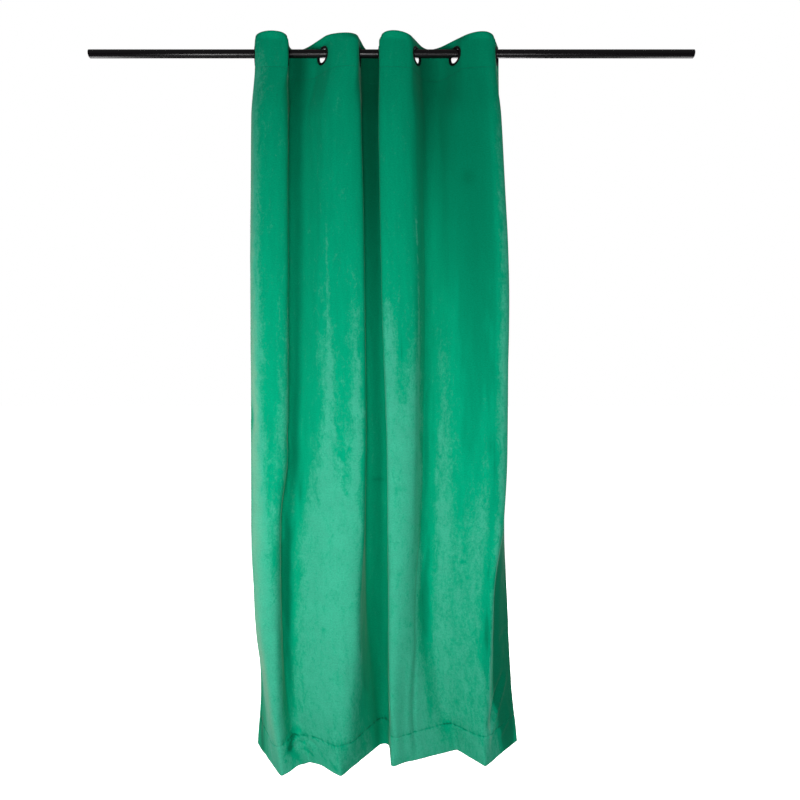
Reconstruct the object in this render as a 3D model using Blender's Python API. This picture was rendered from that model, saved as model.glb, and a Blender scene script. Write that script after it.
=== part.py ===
"""Velvet curtain panel with eight eyelets, hung in folds on a plain round rod.

Metres, +Z up. The origin is on the rod's axis at the middle of its length. +X runs along the rod
and -Y points into the room. The cloth is one sheet: it passes through the rod's line eight times,
once at each eyelet, and hangs from there in four front folds and three back folds.
"""

import math
from typing import NamedTuple

import bmesh
import bpy
from mathutils import Matrix, Vector
from mathutils.geometry import interpolate_bezier

MM = 0.001

# Driving sizes of the panel
PANEL_WIDTH = 1400 * MM
PANEL_DROP = 2500 * MM
CLOTH_THICKNESS = 2 * MM
HEADING_ABOVE_AXIS = 46.6 * MM
EYELET_COUNT = 8
EDGE_TO_EYELET = 50 * MM
EYELET_PITCH = (PANEL_WIDTH - 2 * EDGE_TO_EYELET) / (EYELET_COUNT - 1)

# Driving sizes of the rod and the eyelets
ROD_LENGTH = 2100 * MM
ROD_RADIUS = 14 * MM
EYELET_BORE = 23 * MM
EYELET_BARREL = 26.5 * MM
EYELET_FLANGE = 32 * MM
FIT_GAP = 0.3 * MM
HOLE_RADIUS = EYELET_BARREL + FIT_GAP
HOLE_CUTTER_DEPTH = 10 * MM
STIFF_HALF = EYELET_FLANGE + 1 * MM
BAND_TOP = 27 * MM
BAND_FOOT = -45 * MM

# Mesh fineness
ROD_SIDES = 32
EYELET_SIDES = 24
FLANK_STEPS = 3
BEND_STEPS = 8
CURVE_STEPS = 24
SOLVE_STEPS = 40
ROUND_STEPS = 72


class Flank(NamedTuple):
    """One side of a front fold in a level cut, seen from above: its straight run's middle, in mm.

    turn is the angle from the depth axis in degrees, positive when the back end is nearer +X.
    """

    side: str
    x: float
    y: float
    turn: float
    half_run: float


class Level(NamedTuple):
    """A level cut through the cloth, with its height and runs in mm.

    rows counts the mesh rows from the level above, edge_run is the free run beyond the outer
    flanks' middles, and draw_in is the share of the panel's width that the cut shows: stitching
    puckers the hem a little.
    """

    name: str
    height: float
    rows: int
    edge_run: float
    draw_in: float
    flanks: tuple


STIFF = STIFF_HALF / MM
EDGE = EDGE_TO_EYELET / MM

# The cloth's free top edge, where the heading has sprung a little away from the eyelets' planes
TOP_EDGE = (
    Flank("fold 1 left", -473, 0, -17, 24),
    Flank("fold 1 right", -361, 0, -4, 24),
    Flank("fold 2 left", -252, 0, -45, 30),
    Flank("fold 2 right", -109, 0, 14, 26),
    Flank("fold 3 left", -38, 0, -8, 26),
    Flank("fold 3 right", 83, 0, 29, 26),
    Flank("fold 4 left", 220, 0, -46, 32),
    Flank("fold 4 right", 360, 0, 21, 22),
)

# The band that the eyelets hold flat: each flank is centred on the rod's axis
EYELET_BAND = (
    Flank("fold 1 left", -472, 0, -11, STIFF),
    Flank("fold 1 right", -360, 0, -12, STIFF),
    Flank("fold 2 left", -238, 0, -42, STIFF),
    Flank("fold 2 right", -111.5, 0, 0, STIFF),
    Flank("fold 3 left", -40, 0, 2, STIFF),
    Flank("fold 3 right", 87, 0, 27, STIFF),
    Flank("fold 4 left", 221, 0, -35, STIFF),
    Flank("fold 4 right", 364.5, 0, 17, STIFF),
)

SHOULDER = (
    Flank("fold 1 left", -486, 0, -13, 30),
    Flank("fold 1 right", -360, 0, -12, 30),
    Flank("fold 2 left", -268, 0, -49, 30),
    Flank("fold 2 right", -106, 0, -4, 30),
    Flank("fold 3 left", -41, 0, 2, 30),
    Flank("fold 3 right", 100, 0, 34, 30),
    Flank("fold 4 left", 190, 0, -43, 30),
    Flank("fold 4 right", 377, 0, 8, 30),
)

CHEST = (
    Flank("fold 1 left", -490, 0, -13, 30),
    Flank("fold 1 right", -360, 0, -12, 30),
    Flank("fold 2 left", -281, 0, -53, 35),
    Flank("fold 2 right", -92, 0, -4, 30),
    Flank("fold 3 left", -28, 0, 2, 30),
    Flank("fold 3 right", 102, 0, 30, 30),
    Flank("fold 4 left", 169, 0, -50, 35),
    Flank("fold 4 right", 405, 0, 9, 30),
)

WAIST = (
    Flank("fold 1 left", -488, 0, -13, 30),
    Flank("fold 1 right", -361, 0, -11, 25),
    Flank("fold 2 left", -284, -8, -57, 40),
    Flank("fold 2 right", -89, 0, -3, 30),
    Flank("fold 3 left", -14, 0, 1, 30),
    Flank("fold 3 right", 98, 0, 27, 28),
    Flank("fold 4 left", 156, 3, -55, 35),
    Flank("fold 4 right", 402, 0, 9, 30),
)

THIGH = (
    Flank("fold 1 left", -487, 0, -13, 35),
    Flank("fold 1 right", -381, -20, -8, 20),
    Flank("fold 2 left", -284, -18, -62, 50),
    Flank("fold 2 right", -92, 0, -1, 32),
    Flank("fold 3 left", -12, 0, 1, 32),
    Flank("fold 3 right", 94, 2, 28, 26),
    Flank("fold 4 left", 170, 5, -62, 45),
    Flank("fold 4 right", 390, 0, 10, 32),
)

KNEE = (
    Flank("fold 1 left", -476, 0, -14, 45),
    Flank("fold 1 right", -379, -30, -4, 15),
    Flank("fold 2 left", -285, -30, -66, 60),
    Flank("fold 2 right", -99, 0, 8, 40),
    Flank("fold 3 left", -10, 5, 0, 35),
    Flank("fold 3 right", 92, 5, 35, 25),
    Flank("fold 4 left", 230, 0, -72, 80),
    Flank("fold 4 right", 377, 15, 30, 45),
)

ANKLE = (
    Flank("fold 1 left", -441, 7, -21, 68),
    Flank("fold 1 right", -362, -40, 10, 15),
    Flank("fold 2 left", -270, -45, -68, 65),
    Flank("fold 2 right", -90, 8, 26, 60),
    Flank("fold 3 left", -7, 15, -2, 40),
    Flank("fold 3 right", 105, 15, 62, 60),
    Flank("fold 4 left", 253, 10, -60, 60),
    Flank("fold 4 right", 373, 28, 41, 62),
)

HEM = (
    Flank("fold 1 left", -427, 7, -34, 100),
    Flank("fold 1 right", -325, -49, 52, 46),
    Flank("fold 2 left", -225, -50, -60, 60),
    Flank("fold 2 right", -105, 1, 36, 96),
    Flank("fold 3 left", -4, 23, -4, 45),
    Flank("fold 3 right", 135, 22, 71, 85),
    Flank("fold 4 left", 277, 14, -47, 56),
    Flank("fold 4 right", 382, 32, 45, 80),
)

HEM_HEIGHT = (HEADING_ABOVE_AXIS - PANEL_DROP) / MM

LEVELS = (
    Level("top edge", HEADING_ABOVE_AXIS / MM, 0, EDGE, 1.0, TOP_EDGE),
    Level("eyelet band, top", BAND_TOP / MM, 1, EDGE, 1.0, EYELET_BAND),
    Level("eyelet band, foot", BAND_FOOT / MM, 1, EDGE, 1.0, EYELET_BAND),
    Level("shoulder", -230, 4, 55, 1.0, SHOULDER),
    Level("chest", -960, 5, 60, 1.0, CHEST),
    Level("waist", -1380, 3, 62, 1.0, WAIST),
    Level("thigh", -1630, 2, 66, 1.0, THIGH),
    Level("knee", -1900, 2, 75, 1.0, KNEE),
    Level("ankle", -2250, 3, 95, 0.985, ANKLE),
    Level("hem", HEM_HEIGHT, 3, 107, 0.98, HEM),
)


class Corner(NamedTuple):
    """A corner of an eyelet's half section, in mm: off its axis, and along it from the cloth."""

    radius: float
    along: float


BORE = EYELET_BORE / MM
BARREL = EYELET_BARREL / MM
FLANGE = EYELET_FLANGE / MM
CLOTH_FACE = (CLOTH_THICKNESS / 2) / MM
SEAT = CLOTH_FACE + FIT_GAP / MM

EYELET_FACE = (
    Corner(BORE, CLOTH_FACE),
    Corner(BORE, -1.5),
    Corner(BORE + 1.6, -3.5),
    Corner(BORE + 5, -3.9),
    Corner(FLANGE - 1, -3.2),
    Corner(FLANGE, -SEAT),
    Corner(BARREL, -SEAT),
    Corner(BARREL, CLOTH_FACE),
)
EYELET_BACK = (
    Corner(BORE, SEAT),
    Corner(FLANGE, SEAT),
    Corner(FLANGE - 1, 3.2),
    Corner(BORE + 5, 3.9),
    Corner(BORE + 1.6, 3.5),
)


def clear_scene():
    """Remove every object from the file."""
    for old in list(bpy.data.objects):
        bpy.data.objects.remove(old, do_unlink=True)


def make_material(name, colour, roughness, metallic=0.0):
    """Return a Principled material of one colour."""
    material = bpy.data.materials.new(name)
    material.use_nodes = True
    shader = material.node_tree.nodes["Principled BSDF"]
    shader.inputs["Base Color"].default_value = (*colour, 1.0)
    shader.inputs["Roughness"].default_value = roughness
    shader.inputs["Metallic"].default_value = metallic
    return material


def add_object(name, mesh, material):
    """Link a new object with this mesh and material."""
    part = bpy.data.objects.new(name, mesh)
    mesh.materials.append(material)
    bpy.context.scene.collection.objects.link(part)
    return part


def back_direction(flank):
    """Return the unit vector that runs along a flank away from the room."""
    turn = math.radians(flank.turn)
    return Vector((math.sin(turn), math.cos(turn), 0))


def flank_points(flank, half_run):
    """Return a flank's front end, middle and back end in metres."""
    middle = Vector((flank.x, flank.y, 0)) * MM
    reach = back_direction(flank) * half_run
    return middle - reach, middle, middle + reach


def path_length(points):
    """Return the length of a run of points."""
    return sum((after - before).length for before, after in zip(points, points[1:]))


def bend(start, start_way, end, end_way, fullness):
    """Return the points of a bend that leaves start along start_way and meets end along end_way."""
    turn = start_way.angle(end_way)
    gap = (end - start).length
    round_handle = gap * (2 / 3) * math.tan(turn / 4) / max(math.sin(turn / 2), 0.05)
    handle = round_handle * fullness
    return interpolate_bezier(start, start + start_way * handle, end - end_way * handle, end, CURVE_STEPS + 1)


def solve(measure, target, low, high):
    """Return the value between low and high where a rising measure meets its target."""
    for _ in range(SOLVE_STEPS):
        middle = (low + high) / 2
        if measure(middle) < target:
            low = middle
        else:
            high = middle
    return (low + high) / 2


def travel(index, flank):
    """Return the way the cloth runs along a flank: to the room on left flanks, back on right ones."""
    way = back_direction(flank)
    return -way if index % 2 == 0 else way


def flank_run(index, flank):
    """Return the first and last point of a flank's straight run, in the cloth's order."""
    front, _, back = flank_points(flank, flank.half_run * MM)
    return (back, front) if index % 2 == 0 else (front, back)


def section_pieces(level, fullness):
    """Return the straight runs and the bends of a level cut in order, each as a list of points."""
    pieces = []
    runs = [flank_run(index, flank) for index, flank in enumerate(level.flanks)]
    ways = [travel(index, flank) for index, flank in enumerate(level.flanks)]
    for index, (start, end) in enumerate(runs):
        pieces.append([start, end])
        if index + 1 < len(runs):
            amount = fullness[index]
            pieces.append(bend(end, ways[index], runs[index + 1][0], ways[index + 1], amount))
    first, last = level.flanks[0], level.flanks[-1]
    free_run = level.edge_run * MM
    pieces.insert(0, [flank_points(first, free_run)[2], runs[0][0]])
    pieces.append([runs[-1][1], flank_points(last, free_run)[2]])
    return pieces


def held_fullness(level):
    """Return the fullness of each bend that leaves one pitch of cloth between its eyelets."""
    amounts = []
    for index in range(EYELET_COUNT - 1):
        straight = (level.flanks[index].half_run + level.flanks[index + 1].half_run) * MM
        ways = [travel(side, level.flanks[side]) for side in (index, index + 1)]
        start = flank_run(index, level.flanks[index])[1]
        end = flank_run(index + 1, level.flanks[index + 1])[0]

        def bend_length(amount):
            return path_length(bend(start, ways[0], end, ways[1], amount))

        amounts.append(solve(bend_length, EYELET_PITCH - straight, 0.02, 4.0))
    return amounts


def free_fullness(level):
    """Return the one fullness at which all bends of a level use up the panel's width."""
    count = EYELET_COUNT - 1

    def width(amount):
        return sum(path_length(piece) for piece in section_pieces(level, [amount] * count))

    return [solve(width, PANEL_WIDTH * level.draw_in, 0.02, 4.0)] * count


def section_outline(level):
    """Return one level cut as a run of points from the panel's left edge to its right edge."""
    held = level.edge_run == EDGE
    fullness = held_fullness(level) if held else free_fullness(level)
    outline = []
    for piece in section_pieces(level, fullness):
        outline.extend(piece if not outline else piece[1:])
    return outline


def spread(outline, stations):
    """Return the points of an outline at stations given as shares of the panel's width."""
    total = path_length(outline)
    points = []
    index = 0
    walked = 0.0
    for station in stations:
        target = station * total
        step = (outline[index + 1] - outline[index]).length
        while walked + step < target and index + 2 < len(outline):
            walked += step
            index += 1
            step = (outline[index + 1] - outline[index]).length
        share = min(max((target - walked) / step, 0.0), 1.0)
        points.append(outline[index].lerp(outline[index + 1], share))
    return points


def cloth_stations():
    """Return the panel's columns as shares of its width, close to each eyelet's flat and between."""
    marks = [0.0]
    for index in range(EYELET_COUNT):
        centre = EDGE_TO_EYELET + index * EYELET_PITCH
        for step in range(FLANK_STEPS + 1):
            marks.append(centre - STIFF_HALF + 2 * STIFF_HALF * step / FLANK_STEPS)
        if index + 1 < EYELET_COUNT:
            slack = EYELET_PITCH - 2 * STIFF_HALF
            for step in range(1, BEND_STEPS):
                marks.append(centre + STIFF_HALF + slack * step / BEND_STEPS)
    marks.append(PANEL_WIDTH)
    return [mark / PANEL_WIDTH for mark in marks]


def level_slopes(heights, values):
    """Return a slope at each level that joins the levels smoothly and never overshoots them."""
    runs = [(after - before) for before, after in zip(heights, heights[1:])]
    rises = [(after - before) / run for before, after, run in zip(values, values[1:], runs)]
    slopes = [0.0]
    for left, right in zip(rises, rises[1:]):
        slopes.append(0.0 if left * right <= 0 else 2 * left * right / (left + right))
    slopes.append(rises[-1])
    return slopes


def hermite(share, run, start, end, start_slope, end_slope):
    """Return the value a share of the way along a smooth span."""
    square, cube = share ** 2, share ** 3
    value = (2 * cube - 3 * square + 1) * start + (3 * square - 2 * cube) * end
    return value + run * ((cube - 2 * square + share) * start_slope + (cube - square) * end_slope)


def cloth_rows():
    """Return the sheet's middle surface as rows of points, top edge first."""
    stations = cloth_stations()
    heights = [level.height * MM for level in LEVELS]
    cuts = [spread(section_outline(level), stations) for level in LEVELS]
    columns = []
    for column in zip(*cuts):
        slopes = [level_slopes(heights, [point[axis] for point in column]) for axis in (0, 1)]
        points = [Vector((column[0].x, column[0].y, heights[0]))]
        for span in range(len(LEVELS) - 1):
            run = heights[span + 1] - heights[span]
            rows = LEVELS[span + 1].rows
            for row in range(1, rows + 1):
                share = row / rows
                point = Vector((0, 0, heights[span] + run * share))
                for axis in (0, 1):
                    ends = column[span][axis], column[span + 1][axis]
                    end_slopes = slopes[axis][span : span + 2]
                    point[axis] = hermite(share, run, *ends, *end_slopes)
                points.append(point)
        columns.append(points)
    return [list(row) for row in zip(*columns)]


def build_panel(material, hole_cutters):
    """Build the cloth: the folded sheet, given its thickness, with a round hole at each eyelet."""
    rows = cloth_rows()
    sheet = bmesh.new()
    grid = [[sheet.verts.new(point) for point in row] for row in rows]
    for upper, lower in zip(grid, grid[1:]):
        for column in range(len(upper) - 1):
            sheet.faces.new((upper[column], lower[column], lower[column + 1], upper[column + 1]))
    mesh = bpy.data.meshes.new("velvet_panel")
    sheet.to_mesh(mesh)
    sheet.free()
    mesh.shade_smooth()
    panel = add_object("velvet_panel", mesh, material)
    thicken = panel.modifiers.new("cloth thickness", "SOLIDIFY")
    thicken.thickness = CLOTH_THICKNESS
    thicken.offset = 0.0
    thicken.use_even_offset = True
    for cutter in hole_cutters:
        cut = panel.modifiers.new("eyelet hole", "BOOLEAN")
        cut.operation = "DIFFERENCE"
        cut.object = cutter
    return panel


def turned_mesh(name, profile):
    """Return a ring turned from a closed half section about its own Z axis."""
    ring = bmesh.new()
    loops = []
    for step in range(EYELET_SIDES):
        angle = 2 * math.pi * step / EYELET_SIDES
        around = Vector((math.cos(angle), math.sin(angle), 0))
        corners = [around * corner.radius + Vector((0, 0, corner.along)) for corner in profile]
        loops.append([ring.verts.new(corner * MM) for corner in corners])
    for step in range(EYELET_SIDES):
        here, there = loops[step], loops[(step + 1) % EYELET_SIDES]
        for corner in range(len(profile)):
            after = (corner + 1) % len(profile)
            ring.faces.new((here[corner], there[corner], there[after], here[after]))
    bmesh.ops.recalc_face_normals(ring, faces=ring.faces)
    mesh = bpy.data.meshes.new(name)
    ring.to_mesh(mesh)
    ring.free()
    mesh.shade_smooth()
    mesh.set_sharp_from_angle(angle=math.radians(40))
    return mesh


def hang_drop(turn):
    """Return how far an eyelet's centre hangs below the rod's axis, its bore resting on the rod.

    Seen along the eyelet's axis the turned rod is an ellipse, slid sideways along the bore.
    """
    lean = math.radians(abs(turn))
    bore_corners = [corner for corner in EYELET_FACE + EYELET_BACK if corner.radius < BORE + 2]

    def tightness(drop):
        worst = 0.0
        for corner in bore_corners:
            room = corner.radius * MM * math.cos(math.pi / EYELET_SIDES) - FIT_GAP
            slide = abs(corner.along) * MM * math.tan(lean)
            for step in range(ROUND_STEPS):
                angle = math.pi * step / ROUND_STEPS
                aside = ROD_RADIUS / math.cos(lean) * math.cos(angle) + slide
                above = ROD_RADIUS * math.sin(angle) + drop
                worst = max(worst, math.hypot(aside, above) / room)
        return worst

    return solve(tightness, 1.0, 0.0, EYELET_BORE)


def eyelet_place(index, flank):
    """Return an eyelet's place: its axis square to its flank, its face on the velvet's pile side."""
    across = back_direction(flank)
    back_way = Vector((across.y, -across.x, 0))
    if index % 2 == 1:
        back_way.negate()
    up = Vector((0, 0, 1))
    side = back_way.cross(up)
    place = Matrix((up, side, back_way)).transposed().to_4x4()
    place.translation = Vector((flank.x * MM, flank.y * MM, -hang_drop(flank.turn)))
    return place


def build_cutter(index, place):
    """Build the round cutter for one eyelet's hole."""
    drill = bmesh.new()
    bmesh.ops.create_cone(
        drill,
        cap_ends=True,
        segments=EYELET_SIDES,
        radius1=HOLE_RADIUS,
        radius2=HOLE_RADIUS,
        depth=HOLE_CUTTER_DEPTH,
    )
    mesh = bpy.data.meshes.new(f"hole_cutter_{index + 1}")
    drill.to_mesh(mesh)
    drill.free()
    cutter = bpy.data.objects.new(mesh.name, mesh)
    bpy.context.scene.collection.objects.link(cutter)
    cutter.matrix_world = place
    cutter.hide_render = True
    cutter.display_type = "WIRE"
    return cutter


def build_eyelets(places, material):
    """Build each eyelet: the face ring with the barrel, and the back ring that snaps onto it."""
    for side, profile in (("face", EYELET_FACE), ("back", EYELET_BACK)):
        mesh = turned_mesh(f"eyelet_{side}", profile)
        mesh.materials.append(material)
        for index, place in enumerate(places):
            ring = bpy.data.objects.new(f"eyelet_{index + 1}_{side}", mesh)
            bpy.context.scene.collection.objects.link(ring)
            ring.matrix_world = place


def build_rod(material):
    """Build the plain rod, its length along X."""
    bar = bmesh.new()
    bmesh.ops.create_cone(
        bar,
        cap_ends=True,
        segments=ROD_SIDES,
        radius1=ROD_RADIUS,
        radius2=ROD_RADIUS,
        depth=ROD_LENGTH,
        matrix=Matrix.Rotation(math.pi / 2, 4, "Y"),
    )
    mesh = bpy.data.meshes.new("curtain_rod")
    bar.to_mesh(mesh)
    bar.free()
    mesh.shade_smooth()
    mesh.set_sharp_from_angle(angle=math.radians(40))
    return add_object("curtain_rod", mesh, material)


def main():
    """Build the whole part."""
    clear_scene()
    velvet = make_material("green velvet", (0.01, 0.30, 0.17), 0.85)
    black_plastic = make_material("black eyelet plastic", (0.01, 0.01, 0.011), 0.35)
    black_metal = make_material("black rod lacquer", (0.012, 0.012, 0.013), 0.3, 0.6)
    build_rod(black_metal)
    places = [eyelet_place(index, flank) for index, flank in enumerate(EYELET_BAND)]
    cutters = [build_cutter(index, place) for index, place in enumerate(places)]
    build_panel(velvet, cutters)
    build_eyelets(places, black_plastic)


main()
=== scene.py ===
"""Looks of a velvet eyelet curtain panel on its rod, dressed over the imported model's frame.

The cloth is one sheet. A place on it is given as a maker marks it on the flat cloth: in millimetres
across the panel from its left edge, and down it from its top edge. The origin of the frame is on the
rod's axis at the middle of its length, +X runs along the rod and -Y points into the room.
"""

import logging
import math
from collections.abc import Callable
from dataclasses import dataclass, field
from enum import Enum

import bpy
import numpy as np
from mathutils import Matrix, Vector, noise


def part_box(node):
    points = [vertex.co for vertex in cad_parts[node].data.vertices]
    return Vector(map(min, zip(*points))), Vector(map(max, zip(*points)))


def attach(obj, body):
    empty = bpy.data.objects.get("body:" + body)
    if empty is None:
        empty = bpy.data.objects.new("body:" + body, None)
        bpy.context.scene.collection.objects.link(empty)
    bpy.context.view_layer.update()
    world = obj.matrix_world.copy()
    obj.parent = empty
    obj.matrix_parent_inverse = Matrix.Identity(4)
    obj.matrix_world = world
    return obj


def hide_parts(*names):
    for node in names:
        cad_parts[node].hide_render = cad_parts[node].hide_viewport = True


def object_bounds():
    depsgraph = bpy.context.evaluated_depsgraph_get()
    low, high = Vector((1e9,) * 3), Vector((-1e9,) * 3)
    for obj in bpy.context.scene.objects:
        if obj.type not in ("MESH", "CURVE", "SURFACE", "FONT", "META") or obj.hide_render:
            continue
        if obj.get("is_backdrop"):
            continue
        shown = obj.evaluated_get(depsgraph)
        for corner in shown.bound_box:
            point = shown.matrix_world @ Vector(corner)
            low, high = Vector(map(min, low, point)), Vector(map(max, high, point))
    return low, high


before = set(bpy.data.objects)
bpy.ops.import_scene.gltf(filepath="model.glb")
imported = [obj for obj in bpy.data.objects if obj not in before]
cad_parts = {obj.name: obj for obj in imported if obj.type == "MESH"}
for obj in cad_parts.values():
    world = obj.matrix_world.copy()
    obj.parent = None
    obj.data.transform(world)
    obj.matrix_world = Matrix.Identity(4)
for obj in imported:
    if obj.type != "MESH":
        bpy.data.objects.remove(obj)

LOG = logging.getLogger("velvet_curtain")
MM = 0.001
BODY = "root"
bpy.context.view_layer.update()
WHITE = (1.0, 1.0, 1.0, 1.0)

Triple = tuple[float, float, float]
Colour = Triple
Spot = tuple[float, float]
Feed = bpy.types.NodeSocket | float | tuple[float, ...]


def smooth_step(value: np.ndarray, low: float, high: float) -> np.ndarray:
    """Return 0 below low and 1 above high, with an eased rise between them.

    Args:
        value: The numbers to ease.
        low: Where the rise starts.
        high: Where the rise ends.

    Returns:
        The eased shares, from 0 to 1.
    """
    share = np.clip((value - low) / (high - low), 0.0, 1.0)
    return share * share * (3 - 2 * share)


def unit(vectors: np.ndarray) -> np.ndarray:
    """Return vectors scaled to length 1 along their last axis."""
    length = np.linalg.norm(vectors, axis=-1, keepdims=True)
    return vectors / np.maximum(length, 1e-12)


def hill(offset: np.ndarray, half_width: float) -> np.ndarray:
    """Return the height of a soft hill, 1 at its middle, at offsets from there."""
    return np.exp(-((offset / half_width) ** 2))


def run_length(points: np.ndarray) -> float:
    """Return how long a line through points is, one point in each row."""
    return float(np.linalg.norm(np.diff(points, axis=0), axis=1).sum())


# The hanging shape

@dataclass(frozen=True)
class Flank:
    """One side of a front fold in a level cut, seen from above, in mm and degrees.

    x and y are its straight run's middle. turn is its angle from the depth axis, positive when its
    back end is nearer +X.
    """

    side: str
    x: float
    y: float
    turn: float
    half_run: float

    def back_way(self) -> np.ndarray:
        """Return the unit vector along the flank, away from the room."""
        return np.array([math.sin(math.radians(self.turn)), math.cos(math.radians(self.turn))])

    def end(self, reach: float) -> np.ndarray:
        """Return the point that lies reach behind the flank's middle, or before it when negative."""
        return np.array([self.x, self.y]) + self.back_way() * reach


@dataclass(frozen=True)
class Level:
    """A level cut through the cloth: its height above the rod's axis and its runs, in mm.

    edge_run is the free run beyond the outer flanks' middles, draw_in the share of the panel's width
    that the cut shows, and held says that the eyelets hold one pitch of cloth in each bend.
    """

    name: str
    height: float
    edge_run: float
    draw_in: float
    held: bool
    flanks: tuple[Flank, ...]


# Half the width of cloth that an eyelet holds flat, and how far in from the sides the outer ones sit
STIFF = 33.0
EDGE = 50.0

TOP_EDGE = (
    Flank("fold 1 left", -473, 0, -17, 24),
    Flank("fold 1 right", -361, 0, -4, 24),
    Flank("fold 2 left", -252, 0, -45, 30),
    Flank("fold 2 right", -109, 0, 14, 26),
    Flank("fold 3 left", -38, 0, -8, 26),
    Flank("fold 3 right", 83, 0, 29, 26),
    Flank("fold 4 left", 220, 0, -46, 32),
    Flank("fold 4 right", 360, 0, 21, 22),
)
EYELET_BAND = (
    Flank("fold 1 left", -472, 0, -11, STIFF),
    Flank("fold 1 right", -360, 0, -12, STIFF),
    Flank("fold 2 left", -238, 0, -42, STIFF),
    Flank("fold 2 right", -111.5, 0, 0, STIFF),
    Flank("fold 3 left", -40, 0, 2, STIFF),
    Flank("fold 3 right", 87, 0, 27, STIFF),
    Flank("fold 4 left", 221, 0, -35, STIFF),
    Flank("fold 4 right", 364.5, 0, 17, STIFF),
)
SHOULDER = (
    Flank("fold 1 left", -486, 0, -13, 30),
    Flank("fold 1 right", -360, 0, -12, 30),
    Flank("fold 2 left", -268, 0, -49, 30),
    Flank("fold 2 right", -106, 0, -4, 30),
    Flank("fold 3 left", -41, 0, 2, 30),
    Flank("fold 3 right", 100, 0, 34, 30),
    Flank("fold 4 left", 190, 0, -43, 30),
    Flank("fold 4 right", 377, 0, 8, 30),
)
CHEST = (
    Flank("fold 1 left", -490, 0, -13, 30),
    Flank("fold 1 right", -360, 0, -12, 30),
    Flank("fold 2 left", -281, 0, -53, 35),
    Flank("fold 2 right", -92, 0, -4, 30),
    Flank("fold 3 left", -28, 0, 2, 30),
    Flank("fold 3 right", 102, 0, 30, 30),
    Flank("fold 4 left", 169, 0, -50, 35),
    Flank("fold 4 right", 405, 0, 9, 30),
)
WAIST = (
    Flank("fold 1 left", -488, 0, -13, 30),
    Flank("fold 1 right", -361, 0, -11, 25),
    Flank("fold 2 left", -284, -8, -57, 40),
    Flank("fold 2 right", -89, 0, -3, 30),
    Flank("fold 3 left", -14, 0, 1, 30),
    Flank("fold 3 right", 98, 0, 27, 28),
    Flank("fold 4 left", 156, 3, -55, 35),
    Flank("fold 4 right", 402, 0, 9, 30),
)
THIGH = (
    Flank("fold 1 left", -487, 0, -13, 35),
    Flank("fold 1 right", -381, -20, -8, 20),
    Flank("fold 2 left", -284, -18, -62, 50),
    Flank("fold 2 right", -92, 0, -1, 32),
    Flank("fold 3 left", -12, 0, 1, 32),
    Flank("fold 3 right", 94, 2, 28, 26),
    Flank("fold 4 left", 170, 5, -62, 45),
    Flank("fold 4 right", 390, 0, 10, 32),
)
KNEE = (
    Flank("fold 1 left", -476, 0, -14, 45),
    Flank("fold 1 right", -379, -30, -4, 15),
    Flank("fold 2 left", -285, -30, -66, 60),
    Flank("fold 2 right", -99, 0, 8, 40),
    Flank("fold 3 left", -10, 5, 0, 35),
    Flank("fold 3 right", 92, 5, 35, 25),
    Flank("fold 4 left", 230, 0, -72, 80),
    Flank("fold 4 right", 377, 15, 30, 45),
)
ANKLE = (
    Flank("fold 1 left", -441, 7, -21, 68),
    Flank("fold 1 right", -362, -40, 10, 15),
    Flank("fold 2 left", -270, -45, -68, 65),
    Flank("fold 2 right", -90, 8, 26, 60),
    Flank("fold 3 left", -7, 15, -2, 40),
    Flank("fold 3 right", 105, 15, 62, 60),
    Flank("fold 4 left", 253, 10, -60, 60),
    Flank("fold 4 right", 373, 28, 41, 62),
)
HEM = (
    Flank("fold 1 left", -427, 7, -34, 100),
    Flank("fold 1 right", -325, -49, 52, 46),
    Flank("fold 2 left", -225, -50, -60, 60),
    Flank("fold 2 right", -105, 1, 36, 96),
    Flank("fold 3 left", -4, 23, -4, 45),
    Flank("fold 3 right", 135, 22, 71, 85),
    Flank("fold 4 left", 277, 14, -47, 56),
    Flank("fold 4 right", 382, 32, 45, 80),
)

LEVELS = (
    Level("top edge", 46.6, EDGE, 1.0, True, TOP_EDGE),
    Level("eyelet band, top", 27, EDGE, 1.0, True, EYELET_BAND),
    Level("eyelet band, foot", -45, EDGE, 1.0, True, EYELET_BAND),
    Level("shoulder", -230, 55, 1.0, False, SHOULDER),
    Level("chest", -960, 60, 1.0, False, CHEST),
    Level("waist", -1380, 62, 1.0, False, WAIST),
    Level("thigh", -1630, 66, 1.0, False, THIGH),
    Level("knee", -1900, 75, 1.0, False, KNEE),
    Level("ankle", -2250, 95, 0.985, False, ANKLE),
    Level("hem", -2453.4, 107, 0.98, False, HEM),
)


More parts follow.
